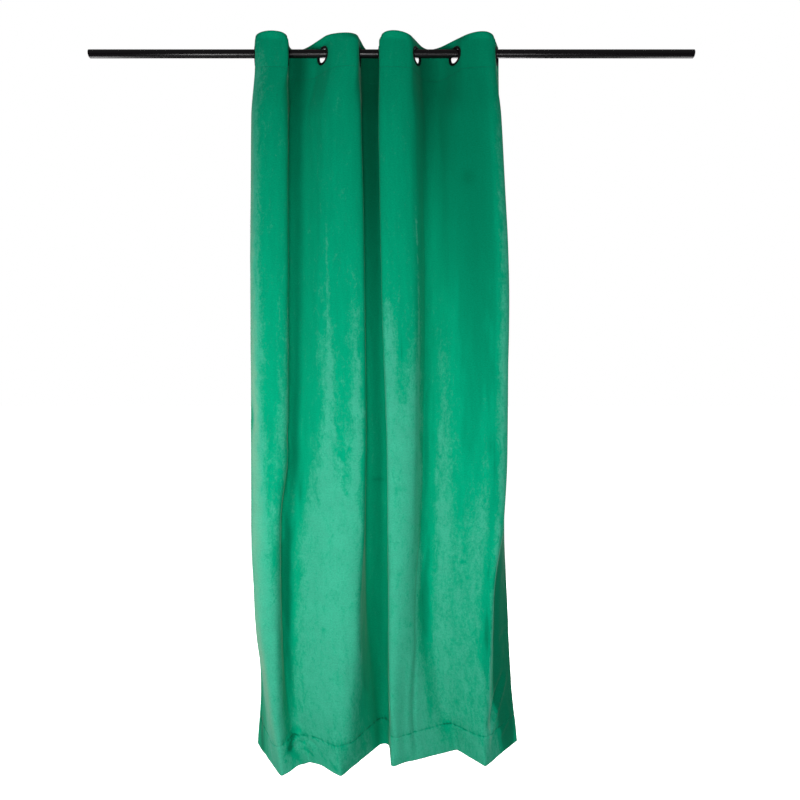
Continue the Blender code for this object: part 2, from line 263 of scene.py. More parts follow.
@dataclass
class FoldPlan:
    """The hanging shape of the cloth's middle surface, from the level cuts. Sizes are in mm."""

    width: float = 1400.0
    drop: float = 2500.0
    heading: float = 46.6
    eyelets: int = 8
    levels: tuple[Level, ...] = LEVELS
    bend_steps: int = 48
    solve_steps: int = 40
    probe: float = 2.5
    flattest: float = 0.05
    least_fullness: float = 0.02
    most_fullness: float = 4.0
    cuts: list[tuple[np.ndarray, np.ndarray]] = field(init=False)

    def __post_init__(self) -> None:
        """Solve every level cut for the cloth's width."""
        self.cuts = [self.solved_cut(level) for level in self.levels]

    @property
    def pitch(self) -> float:
        """Return the run of cloth between two eyelets."""
        return (self.width - 2 * EDGE) / (self.eyelets - 1)

    def eyelet_across(self, index: int) -> float:
        """Return how far across the panel an eyelet's centre lies."""
        return EDGE + index * self.pitch

    def bend(self, start: np.ndarray, start_way: np.ndarray, end: np.ndarray, end_way: np.ndarray,
             fullness: float) -> np.ndarray:
        """Return the points of a bend between two straight runs.

        Args:
            start: The bend's first point.
            start_way: The unit vector along which it leaves.
            end: Its last point.
            end_way: The unit vector along which it arrives.
            fullness: How far it bulges, 1 being close to a round arc.

        Returns:
            The points in order, one in each row.
        """
        turn = math.acos(float(np.clip(start_way @ end_way, -1, 1)))
        gap = float(np.linalg.norm(end - start))
        handle = fullness * gap * (2 / 3) * math.tan(turn / 4) / max(math.sin(turn / 2), self.flattest)
        share = np.linspace(0, 1, self.bend_steps + 1)[:, None]
        rest = 1 - share
        near, far = start + start_way * handle, end - end_way * handle
        return rest**3 * start + 3 * rest**2 * share * near + 3 * rest * share**2 * far + share**3 * end

    def pieces(self, level: Level, fullness: list[float]) -> list[np.ndarray]:
        """Return a level cut's straight runs and bends.

        Args:
            level: The level to cut at.
            fullness: How far each bend bulges.

        Returns:
            The points of each piece, in order from the left edge to the right one.
        """
        runs, ways = [], []
        for index, flank in enumerate(level.flanks):
            front, back = flank.end(-flank.half_run), flank.end(flank.half_run)
            to_room = index % 2 == 0
            runs.append((back, front) if to_room else (front, back))
            ways.append(-flank.back_way() if to_room else flank.back_way())
        found = [np.array([level.flanks[0].end(level.edge_run), runs[0][0]])]
        for index, run in enumerate(runs):
            found.append(np.array(run))
            if index + 1 < len(runs):
                after = runs[index + 1]
                found.append(self.bend(run[1], ways[index], after[0], ways[index + 1], fullness[index]))
        found.append(np.array([runs[-1][1], level.flanks[-1].end(level.edge_run)]))
        return found

    def solve(self, measure: Callable[[float], float], target: float) -> float:
        """Solve for a bend's fullness.

        Args:
            measure: A length in mm that rises with the fullness.
            target: What it has to come to.

        Returns:
            The fullness at which it does.
        """
        low, high = self.least_fullness, self.most_fullness
        for _ in range(self.solve_steps):
            middle = (low + high) / 2
            low, high = (middle, high) if measure(middle) < target else (low, middle)
        return (low + high) / 2

    def solved_cut(self, level: Level) -> tuple[np.ndarray, np.ndarray]:
        """Return a level cut as places across the panel and the points there.

        Args:
            level: The level to cut at.

        Returns:
            The places across in mm, rising, and one point in each row.
        """
        bends = self.eyelets - 1
        if level.held:
            fullness = []
            for index in range(bends):
                straight = level.flanks[index].half_run + level.flanks[index + 1].half_run

                def one_bend(amount: float, index: int = index) -> float:
                    """Return this bend's length for a fullness."""
                    return run_length(self.pieces(level, [amount] * bends)[2 * index + 2])

                fullness.append(self.solve(one_bend, self.pitch - straight))
        else:
            def whole(amount: float) -> float:
                """Return the whole cut's length for one fullness of all bends."""
                return sum(run_length(piece) for piece in self.pieces(level, [amount] * bends))

            fullness = [self.solve(whole, self.width * level.draw_in)] * bends
        found = self.pieces(level, fullness)
        points = np.concatenate([found[0]] + [piece[1:] for piece in found[1:]])
        walked = np.concatenate([[0.0], np.cumsum(np.linalg.norm(np.diff(points, axis=0), axis=1))])
        return walked / walked[-1] * self.width, points

    def place(self, across: np.ndarray, down: np.ndarray) -> np.ndarray:
        """Return where places on the cloth hang.

        Args:
            across: Millimetres across the panel.
            down: Millimetres down the panel, as many.

        Returns:
            The points of the middle surface in metres, with their coordinates on the last axis.
        """
        heights = np.array([level.height for level in self.levels])
        height = self.heading - down
        points = np.stack([
            np.stack([np.interp(across, stations, cut[:, axis]) for axis in (0, 1)])
            for stations, cut in self.cuts
        ])
        gaps = np.diff(heights).reshape((-1,) + (1,) * (points.ndim - 1))
        rises = np.diff(points, axis=0) / gaps
        slopes = np.zeros_like(points)
        before, after = rises[:-1], rises[1:]
        joint = before + after
        agree = before * after > 0
        slopes[1:-1] = np.where(agree, 2 * before * after / np.where(agree, joint, 1), 0)
        slopes[-1] = rises[-1]
        span = np.clip(np.searchsorted(-heights, -height, side="right") - 1, 0, len(heights) - 2)
        run = heights[span + 1] - heights[span]
        share = (height - heights[span]) / run
        pick = np.broadcast_to(span, points.shape[1:])[None]
        start, end = (np.take_along_axis(points, pick + step, 0)[0] for step in (0, 1))
        start_slope, end_slope = (np.take_along_axis(slopes, pick + step, 0)[0] for step in (0, 1))
        square, cube = share**2, share**3
        level_point = (2 * cube - 3 * square + 1) * start + (3 * square - 2 * cube) * end
        lean = (cube - 2 * square + share) * start_slope + (cube - square) * end_slope
        level_point = level_point + run * lean
        return np.stack([level_point[0], level_point[1], height], axis=-1) * MM

    def pile_way(self, across: np.ndarray, down: np.ndarray) -> np.ndarray:
        """Return which way the cloth's pile side faces.

        Args:
            across: Places across the panel in mm.
            down: Places down the panel in mm, as many.

        Returns:
            The unit vectors square to the cloth, out of its pile side.
        """
        left, right = (np.clip(across + step, 0, self.width) for step in (-self.probe, self.probe))
        upper, lower = (np.clip(down + step, 0, self.drop) for step in (-self.probe, self.probe))
        along = self.place(right, down) - self.place(left, down)
        falling = self.place(across, lower) - self.place(across, upper)
        return unit(np.cross(falling, along))


# Creases, nap, painted shade and painted sheen

@dataclass(frozen=True)
class Crease:
    """A soft ridge, or a trough when its height is negative, between two places on the cloth, in mm."""

    name: str
    start: Spot
    end: Spot
    half_width: float
    height: float

    def relief(self, across: np.ndarray, down: np.ndarray) -> np.ndarray:
        """Return how far the crease lifts the cloth.

        Args:
            across: Places across the panel in mm.
            down: Places down the panel in mm, as many.

        Returns:
            The rise at each place, in mm.
        """
        run = np.array(self.end) - np.array(self.start)
        size = float(np.hypot(*run))
        way = run / size
        along = ((across - self.start[0]) * way[0] + (down - self.start[1]) * way[1]) / size
        aside = (across - self.start[0]) * way[1] - (down - self.start[1]) * way[0]
        middle = np.clip(1 - (2 * along - 1) ** 4, 0, 1)
        return self.height * middle * hill(aside, self.half_width)


CREASES = (
    Crease("dent in fold 1's left side", (20, 1322), (205, 1292), 56, -9.0),
    Crease("left side, drawn in", (119, 760), (121, 1760), 60, -4.5),
    Crease("right side, swelling", (1284, 60), (1284, 1120), 60, 4.5),
    Crease("dent in fold 1's right side", (190, 1345), (262, 1400), 40, -4.0),
    Crease("pull across fold 1", (128, 1400), (236, 1480), 30, 2.0),
    Crease("pressed line on fold 2", (476, 520), (478, 1260), 5, 1.3),
    Crease("soft hollow beside it", (502, 900), (500, 1420), 16, -2.2),
    Crease("low line on fold 2", (484, 1700), (492, 2360), 9, -1.4),
    Crease("pressed line on fold 3", (947, 540), (952, 1560), 5, 1.5),
    Crease("line right of fold 3, upper", (992, 1640), (970, 2190), 6, -3.4),
    Crease("line right of fold 3, lower", (974, 2080), (924, 2500), 6, -4.0),
    Crease("ridge left of that line", (950, 2100), (900, 2500), 10, 2.6),
    Crease("nick in the second valley", (690, 1552), (752, 1526), 8, -2.2),
    Crease("hollow in the second valley", (738, 1500), (752, 1900), 14, 3.0),
    Crease("hook on fold 4, upper", (1196, 1416), (1286, 1346), 16, -3.6),
    Crease("hook on fold 4, lip", (1190, 1396), (1276, 1330), 14, 2.6),
    Crease("swell beside the hook", (1218, 1440), (1262, 1580), 28, 3.6),
    Crease("fold 4's outer line", (1276, 1650), (1246, 2400), 11, 6.0),
    Crease("hollow beside that line", (1308, 1700), (1284, 2330), 22, -9.0),
    Crease("second line by the hem", (1372, 2226), (1238, 2424), 9, 7.0),
    Crease("trough over the second line", (1352, 2214), (1226, 2392), 12, -8.0),
    Crease("short line in the right return", (1322, 2096), (1400, 2078), 8, -5.0),
    Crease("short line under it", (1305, 2160), (1356, 2188), 8, -4.0),
    Crease("upper line in the right return", (1340, 1872), (1398, 1906), 9, -4.0),
    Crease("pucker over the right hem corner", (1290, 2440), (1372, 2392), 10, 3.0),
    Crease("low line in the right return", (1352, 2330), (1392, 2462), 10, 2.4),
    Crease("line in the left return", (52, 2210), (20, 2460), 12, -3.2),
    Crease("fold 1's lower edge", (112, 2200), (164, 2470), 10, 2.8),
    Crease("hem crumple, long", (226, 2404), (322, 2368), 7, -5.0),
    Crease("hem crumple, crossing", (262, 2424), (340, 2352), 7, -4.6),
    Crease("hem crumple, steep", (296, 2340), (310, 2432), 8, 4.4),
    Crease("hem crumple, low", (252, 2446), (338, 2418), 6, -4.0),
    Crease("hem crumple, right", (322, 2404), (376, 2438), 7, -3.6),
    Crease("hem crumple, tail", (342, 2424), (362, 2474), 6, 2.0),
    Crease("slack over the hem, fold 2", (410, 2372), (560, 2392), 16, 2.2),
    Crease("slack over the hem, fold 4", (1060, 2362), (1200, 2376), 18, 2.4),
    Crease("bar across fold 2, upper", (360, 1782), (470, 1792), 7, 0.9),
    Crease("bar across fold 2, middle", (380, 1898), (560, 1926), 9, 1.2),
    Crease("bar across fold 2, lower", (352, 1986), (500, 2010), 8, 0.9),
    Crease("small mark on fold 4", (1118, 1796), (1166, 1822), 6, -1.6),
    Crease("small mark under it", (1140, 1880), (1172, 1862), 5, -1.4),
    Crease("small mark on fold 2", (520, 1545), (560, 1580), 7, -1.6),
    Crease("small mark on fold 3", (858, 1560), (884, 1540), 6, -1.4),
    Crease("sag on fold 3", (846, 1300), (922, 1362), 24, -2.0),
    Crease("long swell on fold 4", (1150, 600), (1168, 1300), 42, 2.6),
    Crease("long hollow on fold 4", (1205, 420), (1214, 1180), 30, -2.4),
    Crease("long hollow on fold 1", (196, 300), (200, 900), 18, -1.8),
)


# Where on the panel a drawn up hem starts to rise, and where it has risen in full, in mm
HEM_RISES = (2200, 2500)


@dataclass(frozen=True)
class HemLift:
    """A place where the hem is drawn up, or let down when its rise is negative, in mm."""

    name: str
    across: float
    half_width: float
    rise: float

    def lift(self, across: np.ndarray, down: np.ndarray) -> np.ndarray:
        """Return how far each place is drawn up."""
        return self.rise * smooth_step(down, *HEM_RISES) * hill(across - self.across, self.half_width)


HEM_LIFTS = (
    HemLift("drawn up left of the crumple", 282, 26, 8.0),
    HemLift("drawn up right of the crumple", 372, 40, 9.0),
    HemLift("left return's foot", 70, 60, -4.0),
    HemLift("first fold's low corner", 182, 56, -5.0),
    HemLift("second fold's low corner", 470, 60, -2.0),
    HemLift("fourth fold's low corner", 1216, 80, -6.0),
    HemLift("third fold's low edge", 920, 90, -3.5),
)


@dataclass(frozen=True)
class SmoothNapAndShade:
    """A tongue of cloth whose pile lies smooth and dark, hanging down between paler brushed areas. The
    tongues over the right return and fold 4's lower right are painted shade.

    foot is its lowest place, top_across its middle higher up, half_width its half width there,
    opening how far above its foot it reaches that width, and softness how wide its edge fades, in mm.
    foot_round is how blunt its foot is, and spread how much wider than its softness the fade runs.
    """

    name: str
    foot: Spot
    top_across: float
    half_width: float
    opening: float
    softness: float = 44.0
    foot_round: float = 0.35
    spread: float = 1.6

    def share(self, across: np.ndarray, down: np.ndarray, wander: np.ndarray) -> np.ndarray:
        """Return how smooth the tongue makes the nap.

        Args:
            across: Places across the panel in mm.
            down: Places down the panel in mm, as many.
            wander: How far the tongue's edge is moved at each place, in mm.

        Returns:
            The smoothness at each place, from 0 to 1.
        """
        rise = (self.foot[1] - down) / self.opening
        open_share = np.clip(rise, 0, 1)
        middle = self.foot[0] + (self.top_across - self.foot[0]) * open_share
        inside = self.half_width * np.sqrt(open_share) - np.abs(across - middle)
        below = -np.hypot(across - middle, np.minimum(rise, 0) * self.opening * self.foot_round)
        reach = np.where(rise > 0, inside, below) + wander
        return np.clip(0.5 + reach / (self.spread * self.softness), 0, 1)


SMOOTH_NAP_AND_SHADE = (
    SmoothNapAndShade("left return", (40, 2700), 40, 58, 500),
    SmoothNapAndShade("fold 1", (178, 1570), 174, 66, 640, 50),
    SmoothNapAndShade("fold 1, right streak", (214, 1900), 210, 20, 500, 34),
    SmoothNapAndShade("first valley, upper", (340, 1610), 354, 106, 340, 48),
    SmoothNapAndShade("first valley, lower", (268, 2460), 292, 36, 500, 34),
    SmoothNapAndShade("fold 2", (520, 1455), 517, 59, 500, 62),
    SmoothNapAndShade("fold 2's far side and second valley", (704, 2760), 704, 118, 700, 30),
    SmoothNapAndShade("fold 3", (890, 1215), 884, 46, 360, 42),
    SmoothNapAndShade("fold 3, small tongue", (868, 1120), 870, 16, 240, 20),
    SmoothNapAndShade("third valley, upper", (1002, 1760), 1006, 46, 800, 34),
    SmoothNapAndShade("third valley, lower", (1008, 2350), 1032, 24, 330, 30),
    SmoothNapAndShade("fold 4", (1142, 1660), 1184, 108, 560, 80),
    SmoothNapAndShade("fold 4, right tongue", (1240, 1610), 1228, 44, 420, 48),
    # Painted shadow by fold 4's outer line, and below it painted shade over the right return, which is turned
    # from the lights.
    SmoothNapAndShade("fold 4's lower right", (1246, 2190), 1250, 16, 260, 24),
    SmoothNapAndShade("right return", (1352, 2760), 1352, 74, 700, 24),
)


@dataclass(frozen=True)
class PileAndShadePatch:
    """A patch where the cloth is darker or paler than round it. The dark patches in the valleys, on faces
    turned from the lights, on the returns, under fold 4's hook and outer line and in the hem crumple are
    painted shade; the marks and remnants are the pile's own lie.

    lie is added to the smoothness at its middle: above 0 darker, below 0 paler. Sizes are in mm. bent
    is how far the nap's unevenness shifts it, across and down.
    """

    name: str
    middle: Spot
    half_size: Spot
    lie: float
    bent: Spot = (0.5, 0.6)

    def change(self, across: np.ndarray, down: np.ndarray, wander: np.ndarray) -> np.ndarray:
        """Return what the patch adds to the smoothness.

        Args:
            across: Places across the panel in mm.
            down: Places down the panel in mm, as many.
            wander: How uneven the cloth's nap is at each place, which bends the patch's shape.

        Returns:
            The change at each place.
        """
        aside = (across - self.middle[0] + self.bent[0] * wander) / self.half_size[0]
        below = (down - self.middle[1] + self.bent[1] * wander) / self.half_size[1]
        return self.lie * np.exp(-(aside**2 + below**2))


# Painted shade: the valley, turned-away side, return, hook, outer line and hem crumple patches.
PILE_AND_SHADE_PATCHES = (
    PileAndShadePatch("fold 4, turned from the light", (1200, 560), (140, 900), 0.36),
    PileAndShadePatch("dark place on fold 4", (1182, 495), (18, 26), 0.11),
    PileAndShadePatch("third valley, top", (1030, 150), (80, 400), 0.4),
    PileAndShadePatch("third valley, lower", (1030, 1760), (44, 520), 0.3),
    PileAndShadePatch("first valley, low", (308, 1980), (56, 560), 0.42),
    PileAndShadePatch("fold 4, low", (1182, 2100), (100, 460), 0.4),
    PileAndShadePatch("third valley by the hem", (1062, 2440), (60, 110), 0.35),
    PileAndShadePatch("fold 2's right side, turned away", (592, 1420), (22, 420), 0.32),
    PileAndShadePatch("fold 4's right side, low", (1264, 2160), (24, 330), 0.3),
    PileAndShadePatch("fold 2's right side, low", (580, 2340), (44, 150), 0.7),
    PileAndShadePatch("fold 2, low", (490, 2440), (90, 140), 0.32),
    PileAndShadePatch("fold 1's low left face", (84, 2440), (66, 120), 0.5),
    PileAndShadePatch("second valley, top", (704, 150), (100, 700), 0.6),
    PileAndShadePatch("first valley, top", (306, 120), (56, 420), 0.5),
    PileAndShadePatch("hook on fold 4", (1246, 1404), (38, 34), 0.3),
    PileAndShadePatch("under the hook", (1272, 1446), (22, 60), 0.25),
    PileAndShadePatch("left return", (36, 2440), (52, 190), 0.2),
    PileAndShadePatch("right return, upper", (1352, 1900), (60, 260), 0.7),
    PileAndShadePatch("right return, lower", (1352, 2230), (62, 320), 0.9),
    PileAndShadePatch("under fold 4's outer line", (1296, 2280), (22, 110), 0.5),
    PileAndShadePatch("crumple at the hem, left", (250, 2416), (34, 16), 0.3),
    PileAndShadePatch("crumple at the hem, middle", (306, 2392), (36, 14), 0.3),
    PileAndShadePatch("slack by the third valley's hem", (1066, 2420), (20, 30), 0.6),
    PileAndShadePatch("second valley's nick", (722, 1538), (30, 10), 0.3),
    PileAndShadePatch("mark on fold 4, upper", (1140, 1806), (26, 8), 0.5),
    PileAndShadePatch("mark on fold 4, middle", (1152, 1884), (14, 12), 0.5),
    PileAndShadePatch("mark on fold 4, lower", (1127, 2320), (18, 9), 0.4),
    PileAndShadePatch("mark on fold 2, top", (520, 1500), (22, 26), 0.6),
    PileAndShadePatch("mark on fold 2, upper", (430, 1600), (14, 16), 0.5),
    PileAndShadePatch("mark on fold 2, middle", (454, 1965), (10, 14), 0.5),
    PileAndShadePatch("mark on fold 2, lower", (450, 2032), (12, 8), 0.5),
    PileAndShadePatch("mark on fold 2, hem", (480, 2412), (12, 10), 0.5),
    PileAndShadePatch("mark on fold 3, upper", (868, 1548), (18, 20), 0.45),
    PileAndShadePatch("mark on fold 3, lower", (944, 2020), (12, 10), 0.4),
    PileAndShadePatch("remnant in the first valley", (352, 1640), (26, 90), 0.45),
    PileAndShadePatch("remnant under it", (342, 1840), (20, 40), 0.4),
    PileAndShadePatch("pale shoulder of fold 2", (486, 1320), (22, 200), -0.18),
    PileAndShadePatch("pale shoulder of fold 4", (1072, 1560), (42, 180), -0.2),
    PileAndShadePatch("pale place on fold 1", (218, 1360), (22, 100), -0.4),
    PileAndShadePatch("pale shoulder of fold 3", (846, 1100), (18, 160), -0.3),
    PileAndShadePatch("pale place by fold 4's outer line", (1268, 1700), (20, 70), -0.45),
)


@dataclass(frozen=True)
class PileAndShadeStroke:
    """A short dark stroke between two places on the cloth, in mm: pressed pile for the scratches and marks,
    and painted shade in the hem crumple's creases and along the first valley's edge.

    bent is how far the nap's unevenness shifts it, and faint_start how strong it is where it starts.
    """

    name: str
    start: Spot
    end: Spot
    half_width: float
    lie: float
    bent: float = 0.15
    faint_start: float = 0.6

    def change(self, across: np.ndarray, down: np.ndarray, wander: np.ndarray) -> np.ndarray:
        """Return what the stroke adds to the smoothness.

        Args:
            across: Places across the panel in mm.
            down: Places down the panel in mm, as many.
            wander: How uneven the cloth's nap is at each place, which bends the stroke.

        Returns:
            The change at each place.
        """
        run = np.array(self.end) - np.array(self.start)
        size = float(np.hypot(*run))
        way = run / size
        right, below = across - self.start[0] + self.bent * wander, down - self.start[1]
        along, aside = right * way[0] + below * way[1], right * way[1] - below * way[0]
        past = np.maximum(np.abs(along - size / 2) - size / 2, 0)
        taper = self.faint_start + (1 - self.faint_start) * np.clip(along / size, 0, 1)
        return self.lie * taper * np.exp(-((aside**2 + past**2) / self.half_width**2))


# Painted shade: the crumple strokes and the first valley's dark edge; the marks and scratches are pressed
# pile.
PILE_AND_SHADE_STROKES = (
    PileAndShadeStroke("crumple, steep stroke", (290, 2374), (279, 2414), 5, 0.9),
    PileAndShadeStroke("crumple, along the seam", (230, 2442), (286, 2410), 5, 0.9),
    PileAndShadeStroke("crumple, broad stroke", (256, 2432), (290, 2490), 10, 0.75),
    PileAndShadeStroke("crumple, left stroke", (216, 2438), (238, 2464), 5, 0.6),
    PileAndShadeStroke("crumple, second along the seam", (244, 2424), (270, 2436), 4, 0.6),
    PileAndShadeStroke("crumple, middle stroke", (298, 2418), (322, 2432), 5, 0.6),
    PileAndShadeStroke("crumple, low stroke", (314, 2450), (345, 2470), 6, 0.6),
    PileAndShadeStroke("crumple, fork", (304, 2392), (318, 2378), 5, 0.5),
    PileAndShadeStroke("crumple, right stroke", (360, 2404), (384, 2414), 5, 0.6),
    PileAndShadeStroke("crumple, far stroke", (424, 2466), (440, 2482), 6, 0.6),
    PileAndShadeStroke("crumple, tail", (362, 2420), (402, 2474), 7, 0.3),
    PileAndShadeStroke("first valley's dark edge", (262, 2040), (256, 2440), 11, 0.5),
    PileAndShadeStroke("mark on fold 4, high", (1134, 1796), (1168, 1812), 5, 0.6),
    PileAndShadeStroke("mark on fold 4, under it", (1146, 1826), (1128, 1842), 5, 0.5),
    PileAndShadeStroke("scratch on fold 2, high", (486, 1400), (520, 1452), 6, 0.5),
    PileAndShadeStroke("scratch on fold 2, crossing", (500, 1440), (545, 1420), 6, 0.5),
    PileAndShadeStroke("scratch on fold 2, long", (478, 1330), (488, 1480), 7, 0.45),
    PileAndShadeStroke("scratch on fold 2, low", (500, 1520), (540, 1580), 5, 0.4),
    PileAndShadeStroke("scratch on fold 3, high", (872, 980), (880, 1110), 6, 0.5),
    PileAndShadeStroke("scratch on fold 3, low", (856, 1150), (892, 1240), 6, 0.45),
    PileAndShadeStroke("scratch on fold 1", (170, 1540), (178, 1640), 9, 0.5),
    PileAndShadeStroke("scratch on fold 1, low", (196, 1690), (204, 1800), 7, 0.45),
    PileAndShadeStroke("scratch on fold 4, low", (1150, 1700), (1162, 1780), 8, 0.4),
)


@dataclass(frozen=True)
class PaleLine:
    """A pale line down the cloth, between two places on it, in mm: crushed pile on the pressed lines, and
    painted sheen along fold edges, sides and crests.
    """

    name: str
    top: Spot
    foot: Spot
    half_width: float
    strength: float
    fade: float = 70.0

    def paling(self, across: np.ndarray, down: np.ndarray) -> np.ndarray:
        """Return how much the line pales the nap.

        Args:
            across: Places across the panel in mm.
            down: Places down the panel in mm, as many.

        Returns:
            The change at each place, from 0 to the line's strength.
        """
        share = (down - self.top[1]) / (self.foot[1] - self.top[1])
        middle = self.top[0] + (self.foot[0] - self.top[0]) * share
        ends = smooth_step(down, self.top[1] - self.fade, self.top[1] + self.fade)
        ends = ends * (1 - smooth_step(down, self.foot[1] - self.fade, self.foot[1] + self.fade))
        return self.strength * ends * hill(across - middle, self.half_width)


# Painted sheen along the fold edges, sides and crests; the pressed lines on folds 2 and 3 are crushed pile.
PRESSED_AND_SHEEN_LINES = (
    PaleLine("fold 1's left band", (112, 420), (124, 1500), 19, 0.5, 260),
    PaleLine("fold 1's left crest", (134, 1500), (218, 2520), 17, 0.8, 200),
    PaleLine("fold 1's right edge, upper", (240, 900), (248, 1530), 9, 0.6),
    PaleLine("pressed line on fold 2", (476, 640), (478, 1290), 5, 0.65, 100),
    PaleLine("left side of fold 2", (480, 1080), (474, 1700), 17, 0.38),
    PaleLine("right edge of fold 2", (572, 760), (574, 1500), 17, 0.38, 160),
    PaleLine("left edge of fold 3", (832, 880), (830, 1500), 16, 0.5, 160),
    PaleLine("pressed line on fold 3", (946, 560), (950, 1560), 5, 0.9, 100),
    PaleLine("left side of fold 4", (1052, 1330), (1054, 1800), 22, 0.38, 140),
    PaleLine("right edge of fold 4", (1286, 430), (1286, 1700), 15, 0.6, 180),
    PaleLine("fold 4's outer line, upper", (1276, 1740), (1284, 1940), 8, 0.9),
    PaleLine("fold 4's outer line, lower", (1284, 1940), (1234, 2480), 8, 0.9),
)
# Painted sheen: tan rims along the left and right silhouettes and along fold 4's outer line.
SHEEN_RIM_LINES = (
    PaleLine("fold 1's left side, upper", (92, 120), (100, 1460), 34, 0.75, 200),
    PaleLine("fold 1's left side, lower", (108, 1460), (146, 2440), 44, 0.5, 200),
    PaleLine("fold 1's left crest", (140, 2000), (204, 2440), 16, 0.35, 160),
    PaleLine("fold 4's right side", (1306, 200), (1306, 1560), 30, 0.4, 160),
    PaleLine("fold 4's outer line", (1288, 1740), (1240, 2460), 7, 0.5, 60),
)


@dataclass(frozen=True)
class Ripple:
    """Smooth uneven noise over the cloth, from about -1 to 1 times its height.

    size is how large a swell of it is across and down, in mm, and seed picks the pattern.
    """

    height: float
    size: Spot
    seed: float

    def over(self, across: np.ndarray, down: np.ndarray) -> np.ndarray:
        """Return the noise over the cloth.

        Args:
            across: Places across the panel in mm.
            down: Places down the panel in mm, as many.

        Returns:
            The noise at each place.
        """
        flat = [
            noise.noise(Vector((a / self.size[0], d / self.size[1], self.seed)))
            for a, d in zip(across.ravel().tolist(), down.ravel().tolist())
        ]
        return self.height * np.array(flat).reshape(across.shape)


@dataclass(frozen=True)
class Sewn:
    """What a row of sewing does to the cloth beside it: puckers, a groove and dark nap.

    Heights and reaches are in mm.
    """

    pucker: float
    pucker_reach: float
    groove: float
    groove_reach: float
    dark: float
    dark_reach: float


@dataclass
class ClothMarks:
    """What makes this panel's surface its own: its swells, creases, seams and the lie of its nap, with
    painted shade and painted sheen.

    The nap's tongues, patches, strokes, pale lines and sheen rim lines, with their painted shade and sheen,
    are in the tables above. Sizes are in mm.
    """

    seam_down: float = 115.0
    hem_height: float = 97.0
    flange_clear: float = 33.0
    relief_from: float = 52.0
    broad_swells: Ripple = Ripple(1.5, (70, 330), 3.1)
    narrow_swells: Ripple = Ripple(0.7, (34, 150), 8.7)
    low_crumples: Ripple = Ripple(0.8, (26, 60), 5.3)
    crumpled: Spot = (1300.0, 2400.0)
    puckers: Ripple = Ripple(1.0, (13, 40), 1.9)
    hem_seam: Sewn = Sewn(0.9, 26, 1.1, 2.6, 1.5, 3.4)
    heading_seam: Sewn = Sewn(0.5, 16, 0.35, 2.4, 0.05, 3.0)
    broad_wander: Ripple = Ripple(20.0, (38, 170), 12.4)
    narrow_wander: Ripple = Ripple(12.0, (13, 60), 4.4)
    heading_smoothness: float = 0.99
    heading_smooth: Spot = (780.0, 1400.0)
    heading_wander: float = 3.0
    line_dots: Ripple = Ripple(1.4, (11, 34), 2.2)
    line_mean: float = 0.75
    line_range: Spot = (0.1, 1.2)
    seam_breaks: Ripple = Ripple(1.3, (9, 400), 7.7)
    seam_mean: float = 0.45
    seam_range: Spot = (0.05, 1.0)
    # The ceiling for deep pile and painted shade, and the value at which a painted sheen rim is full.
    darkest_nap_and_shade: float = 1.6
    fullest_sheen_rim: float = -0.8

    def eyelet_distance(self, plan: FoldPlan, across: np.ndarray, down: np.ndarray) -> np.ndarray:
        """Return how far places on the cloth are from an eyelet.

        Args:
            plan: The panel's fold plan.
            across: Places across the panel in mm.
            down: Places down the panel in mm, as many.

        Returns:
            The distance along the cloth from each place to the nearest eyelet's centre, in mm.
        """
        nearest = np.full(across.shape, np.inf)
        for index in range(plan.eyelets):
            centre = plan.eyelet_across(index)
            nearest = np.minimum(nearest, np.hypot(across - centre, down - plan.heading))
        return nearest

    def relief(self, plan: FoldPlan, across: np.ndarray, down: np.ndarray) -> np.ndarray:
        """Return how far the cloth stands off its fold plan.

        Args:
            plan: The panel's fold plan.
            across: Places across the panel in mm.
            down: Places down the panel in mm, as many.

        Returns:
            The rise at each place, in mm.
        """
        height = sum(crease.relief(across, down) for crease in CREASES)
        height = height + self.broad_swells.over(across, down)
        height = height + self.narrow_swells.over(across, down)
        height = height + smooth_step(down, *self.crumpled) * self.low_crumples.over(across, down)
        pucker = self.puckers.over(across, down)
        hem = plan.drop - self.hem_height
        for seam, row in ((self.hem_seam, hem), (self.heading_seam, self.seam_down)):
            height = height + seam.pucker * pucker * hill(down - row, seam.pucker_reach)
            height = height - seam.groove * hill(down - row, seam.groove_reach)
        clear = smooth_step(self.eyelet_distance(plan, across, down), self.flange_clear, self.relief_from)
        return height * clear

    def smoothness(self, plan: FoldPlan, across: np.ndarray, down: np.ndarray) -> np.ndarray:
        """Return how smooth and dark the nap lies, with painted shade and painted sheen.

        Args:
            plan: The panel's fold plan.
            across: Places across the panel in mm.
            down: Places down the panel in mm, as many.

        Returns:
            The value at each place: 1 smooth, 0 brushed and pale, above 1 deep pile and painted shade, below
                0 painted sheen.
        """
        wander = self.broad_wander.over(across, down) + self.narrow_wander.over(across, down)
        below_heading = smooth_step(down + self.heading_wander * wander, *self.heading_smooth)
        smooth = self.heading_smoothness - self.heading_smoothness * below_heading
        for tongue in SMOOTH_NAP_AND_SHADE:
            smooth = np.maximum(smooth, tongue.share(across, down, wander))
        dotted = np.clip(self.line_mean + self.line_dots.over(across, down), *self.line_range)
        smooth = smooth - dotted * sum(line.paling(across, down) for line in PRESSED_AND_SHEEN_LINES)
        broken = np.clip(self.seam_mean + self.seam_breaks.over(across, down), *self.seam_range)
        from_hem, from_heading = down - (plan.drop - self.hem_height), down - self.seam_down
        sewn = self.hem_seam.dark * broken * hill(from_hem, self.hem_seam.dark_reach)
        sewn = sewn + self.heading_seam.dark * hill(from_heading, self.heading_seam.dark_reach)
        placed = sum(mark.change(across, down, wander) for mark in PILE_AND_SHADE_PATCHES + PILE_AND_SHADE_STROKES)
        smooth = np.clip(smooth + placed + sewn, 0, self.darkest_nap_and_shade)
        # Painted sheen: the tan rim lines pull the value below 0.
        sheen_rim = np.clip(sum(line.paling(across, down) for line in SHEEN_RIM_LINES), 0, 1)
        return smooth * (1 - sheen_rim) + self.fullest_sheen_rim * sheen_rim


# Shader building

